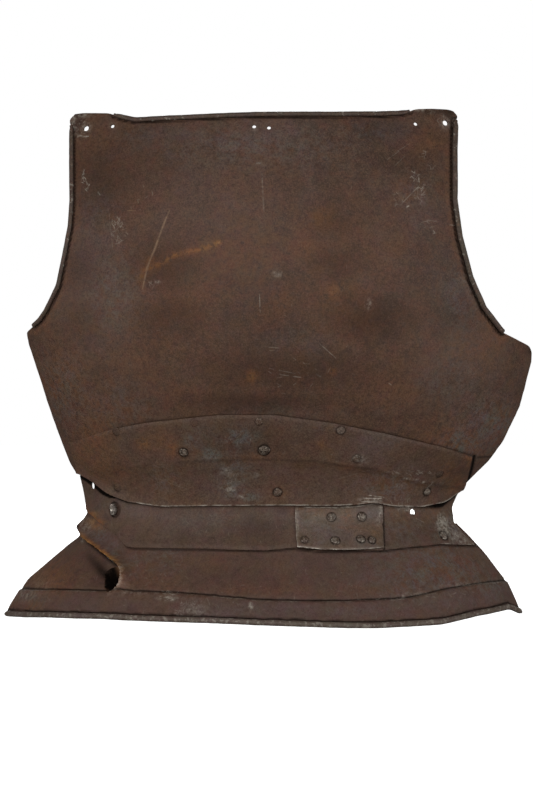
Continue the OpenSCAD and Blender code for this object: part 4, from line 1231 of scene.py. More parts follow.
band_holes = rivet_circles(UPPER) + rivet_circles(MIDDLE) + rivet_circles([REPAIR]) + rivet_circles(LOWER)
plate("waist_band_iron", [(band_outline, band_holes, band_out, band_in)], MAT["band"], ["waist_band"],
      band_masks, step=1.3, step_in=2.4, warp_z=125, strokes=BAND_STROKES, guides=rings(BAND_RING_DIRT_SHADE))


# --- the waist plate ---------------------------------------------------------------------
def waist_out(x, z):
    low = edge_thin(x, z, WAIST_LOW_FINE, mix(0.12, 0.42, ease((x + 120) / 8)), 3.2, below=True)
    return (WAIST_OUT - T) + T * low + relief(x, z) + skin(x + 700, z)


def waist_in(x, z):
    return WAIST_OUT - T + relief(x, z) - 0.02


WAIST_LOW_FINE = [[-153, 87.5], [-147, 84.5], [-141.6, 80.4], [-135, 76.5], [-129, 73.4], [-123.4, 68.6], [-117, 63], [-112, 62],
                  [-51, 62], [1, 61], [24, 63], [94, 60], [116, 62], [146, 64], [175, 62]]
waist_outline = four_sided(lambda v: soft(v, WAIST_LEFT, 0.03), lambda v: soft(v, WAIST_RIGHT, 0.03),
                           lambda x: soft(x, WAIST_LOW_FINE, 1.2), lambda x: line(x, WAIST_TOP), 1.4, (0.25, 0.2), 4)


# dark rings round the waist plate's rivet heads: dirt and painted shade
WAIST_RING_DIRT_SHADE = [(-29, 86, 5.8, 0.13), (-45, 68, 5.8, 0.15), (148, 70, 8.0, 1.0)]


def waist_masks(x, z):
    torn = path_dist(x, z, np.array([[-153, 88], [-141.6, 80.4], [-135, 76.5], [-129, 73.4]], float))[0]
    tear_rust = 0.8 * np.exp(-(torn / 3.4) ** 2) * ease((-133 - x) / 8)
    # painted shadow under the band's lower edge, widest where the band's two ends stand off
    under = line(x, BAND_LOW_FINE) - z
    left_gap, right_gap = ease((-102 - x) / 28), ease((x - 126) / 22)
    reach = 1.4 * left_gap + 4.6 * ease((-124 - x) / 16) + 3.3 * right_gap
    sides = 0.6 + 0.6 * np.maximum(left_gap, right_gap)
    dark = sides * np.exp(-(np.maximum(under - reach, 0) / (1.6 - 0.7 * left_gap)) ** 2)
    # painted shadow cast by the patch's right edge
    past = x - 96.2
    dark = np.maximum(dark, 0.85 * np.exp(-((past - 0.5) / 0.8) ** 2) * (z < 95) * (past > -1))
    dark = np.maximum(dark, ring_dirt_and_shade(x, z, WAIST_RING_DIRT_SHADE))
    # painted shadow in the gap under the loose rivet's head, widest at its left
    gx, gz = (x - BELT[0] + 0.5) / 4.4, (z - BELT[1]) / 5.9
    dark = np.maximum(dark, 0.95 * np.exp(-((np.hypot(gx, gz) - 1) / 0.16) ** 2) * (0.35 + 0.65 * ease((1.0 - gx) / 1.4)))
    return {"wear": 0.10 + 0.7 * ease((x - 140) / 10), "ochre": blobs(x, z, [[-148, 86, 6, 3, 0.6], [-140, 81, 5, 2, 0.45]]),
            "rust": np.maximum(tear_rust, blobs(x, z, [[140, 92, 12, 10, 0.35], [110, 86, 14, 8, 0.25], [-100, 84, 20, 8, 0.15], [150, 100, 8, 10, 0.3]])),
            "blue": blobs(x, z, [[-40, 84, 60, 10, 0.2], [118, 96, 16, 7, 0.35], [152, 77, 14, 11, 0.8], [-130, 96, 14, 10, 0.2], [112, 76, 24, 12, 0.35]]),
            "lilac": blobs(x, z, [[-80, 78, 40, 12, 0.2], [-110, 90, 14, 12, 0.3], [60, 75, 40, 12, 0.2]]),
            "pale": blobs(x, z, [[148, 80, 4.8, 5.6, 0.85], [153, 75, 6, 4.6, 0.62], [160, 69, 6.5, 3.8, 0.5], [118, 92, 3.2, 2, 0.45], [166, 65, 5, 2.8, 0.5]]),
            "dark": np.maximum(dark, blobs(x, z, [[116.6, 91.3, 1.6, 2.4, 0.5], [-8, 79, 24, 9, 0.24]]))}


WAIST_STROKES = [[113.5, 92, 113.9, 95, 0.5, 0.5], [116.4, 90.4, 116.8, 93.2, 0.7, 0.6], [125, 84, 131, 81, 0.2, 0.45],
                 [146, 83, 148, 78, 0.6, 0.7], [144.5, 72.5, 144.8, 69, 0.6, 0.6], [146, 73, 146.4, 69.4, 0.5, 0.5]]
WAIST_STROKES += scuffs(130, 150, 79, 5, 6, 20, 110, 40, 3.0, 0.5)
WAIST_STROKES += scuffs(131, 0, 80, 140, 14, 50, 90, 60, 1.6, 0.16)
WAIST_STROKES += scuffs(132, 116, 93, 9, 3.5, 10, 85, 30, 2.4, 0.4)

slot_hole = np.array([[-147.6, 107.6], [-146.6, 106.6], [-145.4, 107.0], [-144.8, 108.8], [-145.0, 111.2], [-146.2, 112.6], [-147.4, 111.8], [-147.9, 109.6]])
waist_holes = (rivet_circles(LOWER) + rivet_circles(PATCH_UPPER) + rivet_circles(PATCH_LOWER) + rivet_circles(FLUSH)
               + rivet_circles([CORNER]) + rivet_circles([BELT]) + [circle(BELT_EMPTY[0], BELT_EMPTY[1], 2.65, 24, 0.06, 6)]
               + [slot_hole])
plate("waist_plate_iron", [(waist_outline, waist_holes, waist_out, waist_in)], MAT["waist"], ["waist_plate"],
      waist_masks, step=1.3, step_in=2.6, warp_z=90, strokes=WAIST_STROKES,
      guides=rings(WAIST_RING_DIRT_SHADE + [(BELT[0], BELT[1], 8.4), (BELT[0], BELT[1], 10.6)]))


# --- the repair patch ----------------------------------------------------------------------
def patch_out(x, z):
    rim = np.minimum(np.minimum(x - 24, 96.4 - x), z - line(x, [[24, 62.6], [46, 60], [71, 60], [96, 61]]))
    thin = 0.55 + 0.45 * ease(rim / 1.6)
    bow = 0.25 * np.exp(-((x - 98) / 4) ** 2) * np.exp(-((z - 80) / 8) ** 2)
    return PATCH_OUT - T + T * thin + relief(x, z) + skin(x + 900, z) * 2.2 + bow


def patch_in(x, z):
    return PATCH_OUT - T + relief(x, z) + 0.02


def patch_line():
    low = [[24.6, 62.8], [46, 60.2], [71, 60.0], [96, 61]]
    b = np.stack([np.linspace(25, 95.8, 60), soft(np.linspace(25, 95.8, 60), low, 3)], -1)
    zr = np.linspace(b[-1, 1], float(line(96, BAND_LOW_FINE)) - 0.9, 50)
    r = np.stack([95.8 + 0.5 * np.interp(zr, [60, 76, 79, 82, 95], [0.4, 0.2, -2.2, 0.6, 0.2]), zr], -1)
    xt = np.linspace(r[-1, 0], 23.4, 60)
    t = np.stack([xt, line(xt, BAND_LOW_FINE) - 0.9], -1)
    zl = np.linspace(t[-1, 1], b[0, 1], 50)
    l = np.stack([np.interp(zl, [62.8, 70, 84, 96], [25, 24.2, 23.6, 23.4]), zl], -1)
    t[0], l[0], l[-1], b[-1] = r[-1], t[-1], b[0], r[0]
    parts = [even(p, 1.0) for p in (b, r, t, l)]
    out = []
    for k, p in enumerate(parts):
        q = ragged(p, 0.35, 4, 60 + k)
        w = ease(np.minimum(np.arange(len(p)), np.arange(len(p))[::-1]) / 3.0)[:, None]
        out.append(p + (q - p) * w)
    return join(out)[0]


def patch_masks(x, z):
    # painted shadow under the band's lower edge, and dark rings round the heads: dirt and painted shade
    under = line(x, BAND_LOW_FINE) - 0.9 - z
    dark = np.maximum(0.6 * np.exp(-(under / 1.3) ** 2), blobs(x, z, [[31, 86, 5, 4, 0.25]]))
    dark = np.maximum(dark, ring_dirt_and_shade(x, z, [(53, 86, 7.2, 0.8), (78, 86, 7.4, 0.9), (31, 68, 6.6, 0.5), (56, 67, 7.2, 0.9), (77, 68, 6.8, 0.9),
                                         (86, 67, 6.4, 0.9)]))
    # the pale stripe down the left edge is a painted highlight, and the bright edges are worn metal with a painted
    # highlight, weaker towards the right edge
    return {"rust": blobs(x, z, [[40, 90, 12, 5, 0.45], [66, 86, 6, 8, 0.6], [70, 77, 16, 4, 0.35], [30, 82, 6, 6, 0.2], [90, 74, 6, 8, 0.3], [28, 94, 6, 3, 0.4]]),
            "blue": blobs(x, z, [[52, 76, 14, 7, 0.5], [80, 64, 16, 4, 0.35], [30, 82, 6, 6, 0.35], [86, 88, 6, 5, 0.4], [42, 66, 8, 5, 0.4]]),
            "lilac": blobs(x, z, [[58, 70, 18, 7, 0.6]]),
            "pale": blobs(x, z, [[94, 90, 1.8, 4, 0.6], [25.2, 80, 1.0, 12, 0.3], [91.6, 82, 2, 3, 0.35]]),
            "dark": dark, "wear": 0.9 - 0.5 * ease((x - 90) / 5)}


PATCH_STROKES = scuffs(140, 60, 76, 34, 14, 40, 30, 90, 1.6, 0.22, 0.42) + [[92.5, 86, 94, 92, 0.6, 0.6]]
plate("repair_patch_iron", [(patch_line(), rivet_circles(PATCH_UPPER) + rivet_circles(PATCH_LOWER), patch_out, patch_in)],
      MAT["patch"], ["repair_patch"], patch_masks, step=0.95, step_in=1.8, warp_z=80, strokes=PATCH_STROKES)

# --- the skirt, torn at the left -------------------------------------------------------------
CREASE = [[-224, 22], [-207, 24], [-172, 26.8], [-135, 28], [-78, 28.1], [-23, 24.9], [-8, 23.4], [66, 22.1], [92, 22.3],
          [116, 23.1], [139, 26.8], [160, 29.7], [184, 31.1], [202, 30.9], [216, 31]]
# the torn lip, from the outer corner inwards to where the tear ends
TEAR = np.array([[-154.6, 67.2], [-149, 63.6], [-143.6, 60.8], [-138, 57.4], [-132.9, 54.2], [-128.6, 51.4], [-125.4, 49.2],
                 [-121.4, 46.2], [-118.8, 43], [-117.6, 39.4], [-118.2, 35.6], [-120.4, 32], [-124.6, 29], [-130.6, 26.6]])
LIP = [[0, 4.6], [2, 4.4], [4, 4.6], [6, 5.6], [8, 7.4], [9, 8.0], [10, 7.2], [11, 5.0], [12, 2.4], [13, 0]]
# where the wing beside the tear folds inwards, in the same order
FOLD = np.array([[-170, 75], [-158, 69.6], [-149.3, 64.4], [-143, 60.9], [-137.4, 57.4], [-131, 53.4], [-125.5, 50.6], [-121.0, 49.2],
                 [-126, 48.8], [-130.8, 47], [-134.9, 44], [-134.6, 37], [-133.4, 31], [-130.6, 26.6]])
VALLEY = np.array([[-152, 56], [-145, 50.6], [-139, 46], [-134.6, 42]])


def crease(x, z):
    c = curve(x, CREASE)
    step = 1.0 * ease((c - z + 0.2) / 1.9)
    groove = -0.55 * np.exp(-((z - c - 0.6) / 0.85) ** 2)
    return step + groove


def side_of(path, x, z):
    """Which side of a path a place lies on: above and right of it is positive."""
    best, sign = np.full(np.shape(x), 1e9), np.zeros(np.shape(x))
    for k in range(len(path) - 1):
        d, _ = seg_dist(x, z, path[k], path[k + 1])
        e = path[k + 1] - path[k]
        s = np.sign(e[0] * (z - path[k][1]) - e[1] * (x - path[k][0]))
        near = d < best - 1e-9
        best, sign = np.where(near, d, best), np.where(near, s, sign)
    return best, sign


def skirt_out_body(x, z):
    """The main part of the skirt, whose torn lip curls outwards."""
    d, place = path_dist(x, z, TEAR)
    reach = 13.5
    amount = np.interp(place, [p for p, _ in LIP], [a for _, a in LIP])
    curl = amount * np.clip(1 - d / reach, 0, 1) ** 2.1
    # the outer corner of the flap is bent further out
    corner = 3.2 * np.exp(-(((x + 159) / 6.5) ** 2 + ((z - 75) / 7) ** 2))
    waist = line(x, WAIST_LOW_FINE)
    tucked = ease((waist + 1.0 - z) / 5)  # nothing of the flap rises under the waist plate
    return SKIRT_OUT + relief(x, z) + skin(x + 500, z) + crease(x, z) + (curl + corner) * np.maximum(tucked, ease((-151.5 - x) / 2.5))


def skirt_out_wing(x, z):
    """The wing left of the tear, which folds inwards behind the lip."""
    d, side = side_of(FOLD, x, z)
    beyond = np.where(side > 0, d, 0)
    near = np.where(side > 0, 0, d)
    dive = 2.6 * beyond * beyond / (beyond + 0.9)
    sag = 2.6 * np.exp(-(near / 10) ** 2) * ease((z - 27) / 12)
    keep = ease((z - 26.2) / 3.5)
    return SKIRT_OUT + relief(x, z) + skin(x + 500, z) + crease(x, z) - np.minimum(dive * keep, 16) - sag


def inner_of(f):
    return lambda x, z: f(x, z) - T - skin(x + 500, z)


def skirt_x(u, v):
    return mix(soft(v, SKIRT_LEFT, 0.02), soft(v, SKIRT_RIGHT, 0.02), u)


v_ = np.linspace(0, 1, 300)
sl = np.stack([skirt_x(0.0, v_), np.zeros(300)], -1)
sl[:, 1] = mix(line(sl[:, 0], SKIRT_LOW), line(sl[:, 0], SKIRT_TOP), v_)
sr = np.stack([skirt_x(1.0, v_), np.zeros(300)], -1)
sr[:, 1] = mix(line(sr[:, 0], SKIRT_LOW), line(sr[:, 0], SKIRT_TOP), v_)
SPLIT = np.array([[-131.8, float(line(-131.8, SKIRT_LOW))], [-131.4, 18], [-130.6, 26.6]])


def low_edge(x0, x1, n=300):
    x = np.linspace(x0, x1, n)
    return np.stack([x, soft(x, SKIRT_LOW, 3)], -1)


lo_main = low_edge(SPLIT[0][0], sr[0][0])
lo_wing = low_edge(sl[0][0], SPLIT[0][0])
lo_main[-1], lo_wing[0] = sr[0], sl[0]
SPLIT[0] = lo_main[0] = lo_wing[-1] = (lo_main[0] + lo_wing[-1]) / 2
x_top = np.linspace(sr[-1][0], -153.4, 300)
hi_main = np.stack([x_top, line(x_top, SKIRT_TOP)], -1)
hi_main[0] = sr[-1]
flap_side = np.array([hi_main[-1], [-155.4, 84], [-157.6, 80], [-159.6, 76.4], [-159.8, 74.4], [-157.4, 71.4], [-155.6, 69.2], TEAR[0]])
STEP_S = 1.5
seam = even(SPLIT, STEP_S)
parts_main = [even(lo_main, STEP_S), ragged(even(sr, STEP_S), 0.0, 6, 7), even(hi_main, 2.0), even(flap_side, 1.1),
              even(TEAR, 1.0), seam[::-1]]
tw = parts_main[4]
jit = np.random.RandomState(21).rand(len(tw), 2) - 0.5
keep_w = ease(np.minimum(np.arange(len(tw)), np.arange(len(tw))[::-1]) / 4.0)[:, None]
parts_main[4] = tw + jit * 0.85 * keep_w
skirt_main_outline, at_main = join(parts_main)
wing_hidden = np.array([[-130.6, 26.6], [-128.6, 28.4], [-123, 29], [-116, 31.6], [-110, 37], [-108.4, 46], [-114, 54.6], [-124, 60.6],
                        [-134, 65], [-145, 69.2], [-154, 72.8], [-160.4, 75.4]])
cut = int(np.argmin(np.abs(sl[:, 1] - 73.6)))
wing_left = sl[:cut + 1][::-1].copy()
wing_hidden[-1] = wing_left[0]
parts_wing = [even(lo_wing, STEP_S), seam, even(wing_hidden, 1.4), even(wing_left, STEP_S)]
skirt_wing_outline, at_wing = join(parts_wing)

SKIRT_PALE = [[-80, 23.4, 8, 1.5, 0.6], [-58, 15, 8, 6, 0.26], [-12.6, 18, 1.5, 2.4, 0.7], [-108, 27, 10, 1.5, 0.25], [111, 24, 1.6, 1.4, 0.6],
              [-190, 30, 10, 8, 0.12], [-204, 20, 10, 5, 0.25], [-118.6, 41, 2.2, 7, 0.45], [-157, 80, 3, 5, 0.35], [-153, 77, 5, 7, 0.25],
              [120, 26, 14, 1.2, 0.22], [170, 31, 30, 1.2, 0.25], [-158, 68, 2, 2.5, 0.5]]
SKIRT_BLUE = [[-140, 70, 8, 9, 0.5], [-128, 60, 8, 8, 0.45], [-110, 50, 10, 12, 0.25], [60, 14, 60, 7, 0.25], [-20, 14, 60, 7, 0.25],
              [136, 44, 56, 26, 0.5], [190, 26, 20, 12, 0.45], [-200, 18, 18, 8, 0.4], [160, 20, 30, 6, 0.35], [-84, 60, 16, 20, 0.35]]
SKIRT_LILAC = [[0, 14, 110, 9, 0.4], [-150, 16, 50, 8, 0.45], [150, 18, 50, 8, 0.45], [-132, 62, 8, 8, 0.4], [70, 48, 60, 14, 0.2]]
SKIRT_RUST = [[-186, 34, 26, 18, 0.62], [-200, 14, 22, 10, 0.45], [150, 42, 44, 22, 0.25], [-100, 44, 14, 14, 0.25], [-84, 36, 20, 10, 0.25], [-60, 52, 30, 8, 0.15], [0, 30, 50, 6, 0.2],
              [140, 60, 20, 8, 0.3], [-146, 78, 6, 4, 0.5], [100, 30, 60, 6, 0.15]]


def skirt_groove_shade(x, z):
    """Painted shade in the angle of the crease and in the groove beside the turned lower edge."""
    crease_shade = 0.95 * np.exp(-((z - (curve(x, CREASE) + 0.8 + 0.25 * noise(x, z, 5, 66))) / 0.6) ** 2)
    hem = 1.0 * np.exp(-((z - line(x, SKIRT_LOW) - 3.3 - 0.35 * noise(x, z, 6, 65)) / 0.65) ** 2)
    return np.maximum(crease_shade, hem)


def skirt_step_highlight(x, z):
    """A painted highlight along the step just below the crease, broken up in places."""
    return 0.42 * np.exp(-((z - curve(x, CREASE) + 0.7) / 0.6) ** 2) * np.clip(noise(x, z, 14, 67) * 1.3 + 0.35, 0, 1)


def skirt_masks_body(x, z):
    d, place = path_dist(x, z, TEAR)
    width = 2.4 + 0.8 * noise(x, z, 4, 62)
    lip = 1.3 * np.exp(-(d / width) ** 2) * np.interp(place, [0, 7, 8.5, 11, 13], [1, 1, 0.6, 0.4, 0.2])
    ochre = 1.2 * np.exp(-(d / (2.3 + 0.9 * noise(x, z, 3, 64))) ** 2) * np.interp(place, [0, 1, 5, 6.5, 8, 9, 12, 13], [0.7, 1, 1, 0.8, 0.4, 0.22, 0.16, 0.1])
    rim = 0.62 * np.exp(-(d / 1.5) ** 2) * np.interp(place, [5, 7, 9, 13], [0, 0.6, 1, 0.8])
    ochre = np.maximum(ochre, blobs(x, z, [[-148, 81, 5, 3, 0.5], [-143, 77, 5, 3, 0.35]]))
    # painted shadow under the waist plate's lower edge and under the patch's lower edge, and faint painted shade under
    # the waist plate's torn corner
    waist = line(x, WAIST_LOW_FINE) - z
    dark = np.maximum(skirt_groove_shade(x, z), 0.8 * np.exp(-((waist - 0.2) / 1.0) ** 2) * (0.12 + 0.88 * ease((x + 120) / 7)))
    dark = np.maximum(dark, 0.95 * np.exp(-(((x + 159.4) / 1.8) ** 2 + ((z - 75) / 2.0) ** 2)))
    dark = np.maximum(dark, 0.85 * np.exp(-(((x - 215.5) / 2.6) ** 2 + ((z - 5) / 4.0) ** 2)))
    below = line(x, [[24, 62.6], [46, 60], [71, 60], [96, 61]]) - z
    dark = np.maximum(dark, 0.7 * np.exp(-((below - 0.4) / 0.9) ** 2) * ease((x - 22) / 3) * ease((98 - x) / 3))
    flap_fold = 0.28 * np.exp(-(((x + 150) / 7) ** 2 + ((z - 86) / 3.4) ** 2))
    return {"rust": np.clip(np.maximum(lip, blobs(x, z, SKIRT_RUST)), 0, 1), "ochre": np.clip(ochre, 0, 1), "blue": blobs(x, z, SKIRT_BLUE),
            "lilac": blobs(x, z, SKIRT_LILAC), "pale": np.maximum(np.maximum(blobs(x, z, SKIRT_PALE), skirt_step_highlight(x, z)), rim),
            "dark": np.maximum(dark, flap_fold), "wear": 0.25 + 0 * x}


def skirt_masks_wing(x, z):
    d, side = side_of(FOLD, x, z)
    under, _ = path_dist(x, z, FOLD[1:7])
    away, place = path_dist(x, z, VALLEY)
    shade = np.maximum(0.6 * np.exp(-(under / 1.7) ** 2),
                       np.interp(place, [0, 1, 2, 3], [0.15, 0.45, 0.7, 0.85]) * np.exp(-(away / np.interp(place, [0, 2, 3], [3, 4.4, 4.0])) ** 2))
    # the hollow is painted dark as shade, less on its right half, which is rusty brown
    lit = ease((x + 129) / 6)
    hollow = (0.96 + 0.10 * ease(d / 1.5)) * (1 - 0.85 * lit)
    deep = np.where(side > 0, hollow, shade) * ease((z - 27) / 6)
    return {"rust": np.maximum(blobs(x, z, SKIRT_RUST), (0.6 + 0.4 * lit) * (side > 0)), "ochre": 0.35 * lit * (side > 0),
            "blue": blobs(x, z, SKIRT_BLUE), "lilac": blobs(x, z, SKIRT_LILAC),
            "pale": np.maximum(blobs(x, z, SKIRT_PALE), skirt_step_highlight(x, z)) * (side < 0), "dark": np.maximum(skirt_groove_shade(x, z), deep),
            "wear": 0.25 + 0 * x}


SKIRT_STROKES = [[-94, 28, -88, 27.6, 0.6, 0.6], [-84, 26.8, -74, 26.6, 0.7, 0.6], [-80, 28.6, -76, 26, 0.6, 0.6], [-112, 27.4, -104, 27.2, 0.3, 0.5],
                 [-13.2, 20.4, -12.4, 16.4, 0.8, 0.7], [-48, 24, -46, 20, 0.25, 0.5], [160, 60, 168, 44, 0.12, 0.45]]
SKIRT_STROKES += scuffs(156, -80, 23.2, 7.5, 1.5, 18, 5, 70, 1.9, 0.9, 0.5)
SKIRT_STROKES += scuffs(150, -64, 14, 14, 7, 34, 20, 90, 2.2, 0.42)
SKIRT_STROKES += scuffs(151, -82, 27.5, 12, 1.8, 14, 5, 50, 2.4, 0.5)
SKIRT_STROKES += scuffs(152, 0, 24, 200, 22, 120, 20, 90, 1.7, 0.18)
SKIRT_STROKES += scuffs(153, -190, 24, 20, 12, 20, 60, 90, 2.0, 0.22)
SKIRT_STROKES += scuffs(154, 120, 24, 60, 2.0, 24, 5, 40, 2.4, 0.3)
SKIRT_STROKES += scuffs(155, -90, 50, 26, 14, 24, 60, 90, 1.6, 0.22)

skirt_holes = rivet_circles(PATCH_UPPER) + rivet_circles(PATCH_LOWER) + rivet_circles(FLUSH) + rivet_circles([CORNER])


def run_low(at, part, count):
    return [at[part] + k for k in range(count)]


g_x = np.linspace(-216, 212, 470)
SKIRT_GUIDES = np.vstack([np.stack([g_x, curve(g_x, CREASE) + k], -1) for k in (-1.7, -1.0, -0.4, 0.2, 0.8, 1.4, 2.1)]
                         + [rows_along(g_x, line(g_x, SKIRT_LOW) + 3.3, 0.6)])
fold_fine = even(FOLD[4:], 0.8)
FOLD_GUIDES = np.vstack([fold_fine, fold_fine + (0.7, 0.3), fold_fine - (0.7, 0.3)])


def skirt():
    """The two parts of the skirt share the seam below the tear, and one turned edge runs along both."""
    warp = Warp(30)
    keys = ATTRS
    verts, faces = [], []
    store = {k: [] for k in keys}
    base = 0
    low_chain = {}
    for name, outline, hls, f_out, masks, at, parts in (
            ("wing", skirt_wing_outline, [], skirt_out_wing, skirt_masks_wing, at_wing, parts_wing),
            ("main", skirt_main_outline, skirt_holes, skirt_out_body, skirt_masks_body, at_main, parts_main)):
        extra = np.vstack([stroke_points(SKIRT_STROKES), SKIRT_GUIDES] + ([FOLD_GUIDES] if name == "wing" else []))
        ok = inside(extra[:, 0], extra[:, 1], outline)
        d, _ = path_dist(extra[:, 0], extra[:, 1], np.vstack([outline, outline[:1]]))
        ok &= d > 1.0
        extra = extra[ok]
        po, fo, io = fill(outline, hls, extra, 1.55, warp)
        pi, fi, ii = fill(outline, hls, np.zeros((0, 2)), 2.6, warp)
        f_in = inner_of(f_out)
        o, i = on_body(po[:, 0], po[:, 1], f_out(po[:, 0], po[:, 1])), on_body(pi[:, 0], pi[:, 1], f_in(pi[:, 0], pi[:, 1]))
        o0, i0 = base, base + len(po)
        base += len(po) + len(pi)
        verts += [o, i]
        faces += [fo + o0, fi[:, ::-1] + i0]
        rim = np.vstack([outline, outline[:1]])
        m = masks(po[:, 0], po[:, 1])
        # the shared seam isn't an edge
        seam_d, _ = path_dist(po[:, 0], po[:, 1], seam)
        edge = np.exp(-path_dist(po[:, 0], po[:, 1], rim)[0] / 1.2) * ease((seam_d - 1) / 3) * m["wear"]
        for k in keys:
            if k == "outer":
                store[k] += [np.ones(len(po)), np.zeros(len(pi))]
            elif k == "edge":
                store[k] += [edge, np.zeros(len(pi))]
            elif k in ("mark", "tan"):
                some = [s for s in SKIRT_STROKES if (s[4] < 0) == (k == "tan")]
                store[k] += [stroke_mask(po[:, 0], po[:, 1], some), np.zeros(len(pi))]
            elif k == "roll":
                store[k] += [np.zeros(len(po)), np.zeros(len(pi))]
            elif k in ("ochre", "rust"):
                torn, _ = path_dist(pi[:, 0], pi[:, 1], TEAR)
                store[k] += [m.get(k, np.zeros(len(po))), 0.7 * np.exp(-(torn / 3) ** 2)]
            else:
                store[k] += [m[k], np.zeros(len(pi))]
        n_low = len(parts[0])
        skip = {(k, k + 1) for k in range(n_low - 1)}
        seam_part = 1 if name == "wing" else 5
        n_out = len(outline)
        for k in range(at[seam_part], at[seam_part + 1]):
            skip.add((k, (k + 1) % n_out))
        off = 0
        for r, rp in enumerate([outline] + list(hls)):
            n = len(rp)
            quads = []
            for k in range(n):
                a, b = off + k, off + (k + 1) % n
                if (a, b) in skip:
                    continue
                q = [o0 + io[b], o0 + io[a], i0 + ii[a], i0 + ii[b]]
                quads.append(q if r == 0 else q[::-1])
            faces.append(np.array(quads))
            off += n
        low_chain[name] = [(o0 + io[k % n_out], i0 + ii[k % n_out], k) for k in range(n_low)]
        seam_ids = [(o0 + io[(at[seam_part] + k) % n_out], i0 + ii[(at[seam_part] + k) % n_out]) for k in range(len(seam))]
        low_chain[name + "_seam"] = seam_ids if name == "wing" else seam_ids[::-1]
    V = np.vstack(verts)
    # weld the seam: the main part's points take the wing's
    swap = {}
    for (wo, wi), (mo, mi) in zip(low_chain["wing_seam"], low_chain["main_seam"]):
        swap[mo], swap[mi] = wo, wi
        V[wo] = (V[wo] + V[mo]) / 2
        V[wi] = (V[wi] + V[mi]) / 2
    table = np.arange(len(V))
    for a, b in swap.items():
        table[a] = b
    faces = [table[f] for f in faces]
    chain_o = [c[0] for c in low_chain["wing"]] + [c[0] for c in low_chain["main"]][1:]
    chain_i = [c[1] for c in low_chain["wing"]] + [c[1] for c in low_chain["main"]][1:]
    chain_o, chain_i = table[chain_o], table[chain_i]
    P = V[chain_o]
    pts = np.vstack([parts_wing[0], parts_main[0][1:]])
    N = normal(pts[:, 0], pts[:, 1])
    D = np.cross(np.gradient(P, axis=0), N)
    D /= np.linalg.norm(D, axis=1, keepdims=True)
    radius = 1.2
    rr, tt, flat = roll_shape(6, 0.12, 0.12)(np.arange(len(P)) / (len(P) - 1), P)
    rough_roll = 0.10 * noise(np.cumsum(np.ones(len(P))) * STEP_S, np.zeros(len(P)), 3.4, 61)
    # the turned edge is hammered nearly shut at its two ends
    place = np.arange(len(P)) * STEP_S
    rr = rr * (0.42 + 0.58 * ease(np.minimum(place, place[::-1]) / 7.0))
    tt = tt * (0.70 + 0.30 * ease(np.minimum(place, place[::-1]) / 5.0))
    r_in = radius * rr
    C = P + r_in[:, None] * N
    ring = []
    for k in range(1, STEPS + 1):
        phi = TURN * k / STEPS
        ring.append(C + (r_in * math.sin(phi))[:, None] * D - (r_in * math.cos(phi) * flat)[:, None] * N)
    for k in range(STEPS, 0, -1):
        phi = TURN * k / STEPS
        ro = r_in + tt + rough_roll * 0.5
        ring.append(C + (ro * math.sin(phi))[:, None] * D - (ro * math.cos(phi) * flat)[:, None] * N)
    count, n = len(ring), len(P)
    roll_v = np.stack(ring, 1).reshape(-1, 3)
    idx = rows_of(n, count) + len(V)
    V = np.vstack([V, roll_v])
    for k in keys:
        value = {"outer": 1.0, "edge": 0.45, "roll": 1.0}.get(k, 0.0)
        store[k].append(np.tile(TURN_SHADE, n) if k == "dark" else np.full(n * count, value))
    chain = np.concatenate([chain_o[:, None], idx, chain_i[:, None]], 1)
    a, b = chain[:-1], chain[1:]
    faces.append(np.stack([a[:, :-1], a[:, 1:], b[:, 1:], b[:, :-1]], -1).reshape(-1, 4))
    l = chain.shape[1] - 1
    for end, row in ((0, chain[0]), (1, chain[-1])):
        cap = [[row[c], row[c + 1], row[l - c - 1], row[l - c]] for c in range(STEPS)]
        faces.append(np.array([q[::-1] for q in cap] if end == 0 else cap))
    f = [list(q) for block in faces for q in block]
    attrs = {k: np.concatenate(s) for k, s in store.items()}
    used = np.zeros(len(V), bool)
    for q in f:
        used[q] = True
    remap = np.cumsum(used) - 1
    f = [[int(remap[i]) for i in q] for q in f]
    V = V[used]
    attrs = {k: s[used] for k, s in attrs.items()}
    new_object("skirt_plate_iron", seat(V), f, attrs, MAT["skirt"], "shell", ["skirt_plate"])
    return P + radius * N, N, D, radius


wire("skirt_wire", skirt(), MAT["wire"], "skirt_edge_wire", trim=5)

# --- rivets --------------------------------------------------------------------------------
waist_in_o, skirt_in_o = WAIST_OUT - T, SKIRT_OUT - T


def spec(p, hi, lo, seed, d=7.0, h=1.7, tail_d=6.0, tail_h=1.1, **more):
    return dict(x=p[0], z=p[1], hi=hi, lo=lo, d=d, h=h, tail_d=tail_d, tail_h=tail_h, seed=seed, **more)


rivets("band_rivets_upper", [spec(UPPER[0], BAND_OUT, -T, 1, h=0.35, grit=0.05, bare=0.1), spec(UPPER[1], BAND_OUT, -T, 2, h=0.25, d=6.6, grit=0.05, bare=0.1),
                             spec(UPPER[2], BAND_OUT, -T, 3, h=0.8, bare=0.5), spec(UPPER[3], BAND_OUT, -T, 4, h=1.2, worn=0.08)],
       MAT["band"], "band_upper_rivets")
rivets("band_rivets_middle", [spec(MIDDLE[0], BAND_OUT, -T, 5, h=1.4, worn=0.1, grit=0.45), spec(MIDDLE[1], BAND_OUT, -T, 6, h=0.7, d=6.8, worn=0.2, bare=0.6),
                              spec(MIDDLE[2], BAND_OUT, -T, 7, h=0.5, bare=0.3)], MAT["band"], "band_middle_rivets")
rivets("band_rivet_repair", [spec(REPAIR, BAND_OUT, -T, 8, d=9.4, h=2.0, tail_d=7, tail_h=1.4, squash=(1.0, 0.92), grit=0.6)],
       MAT["band"], "band_repair_rivet")
lift_l = [float(band_lift(np.array(float(p[0])), np.array(float(p[1])))) for p in LOWER]
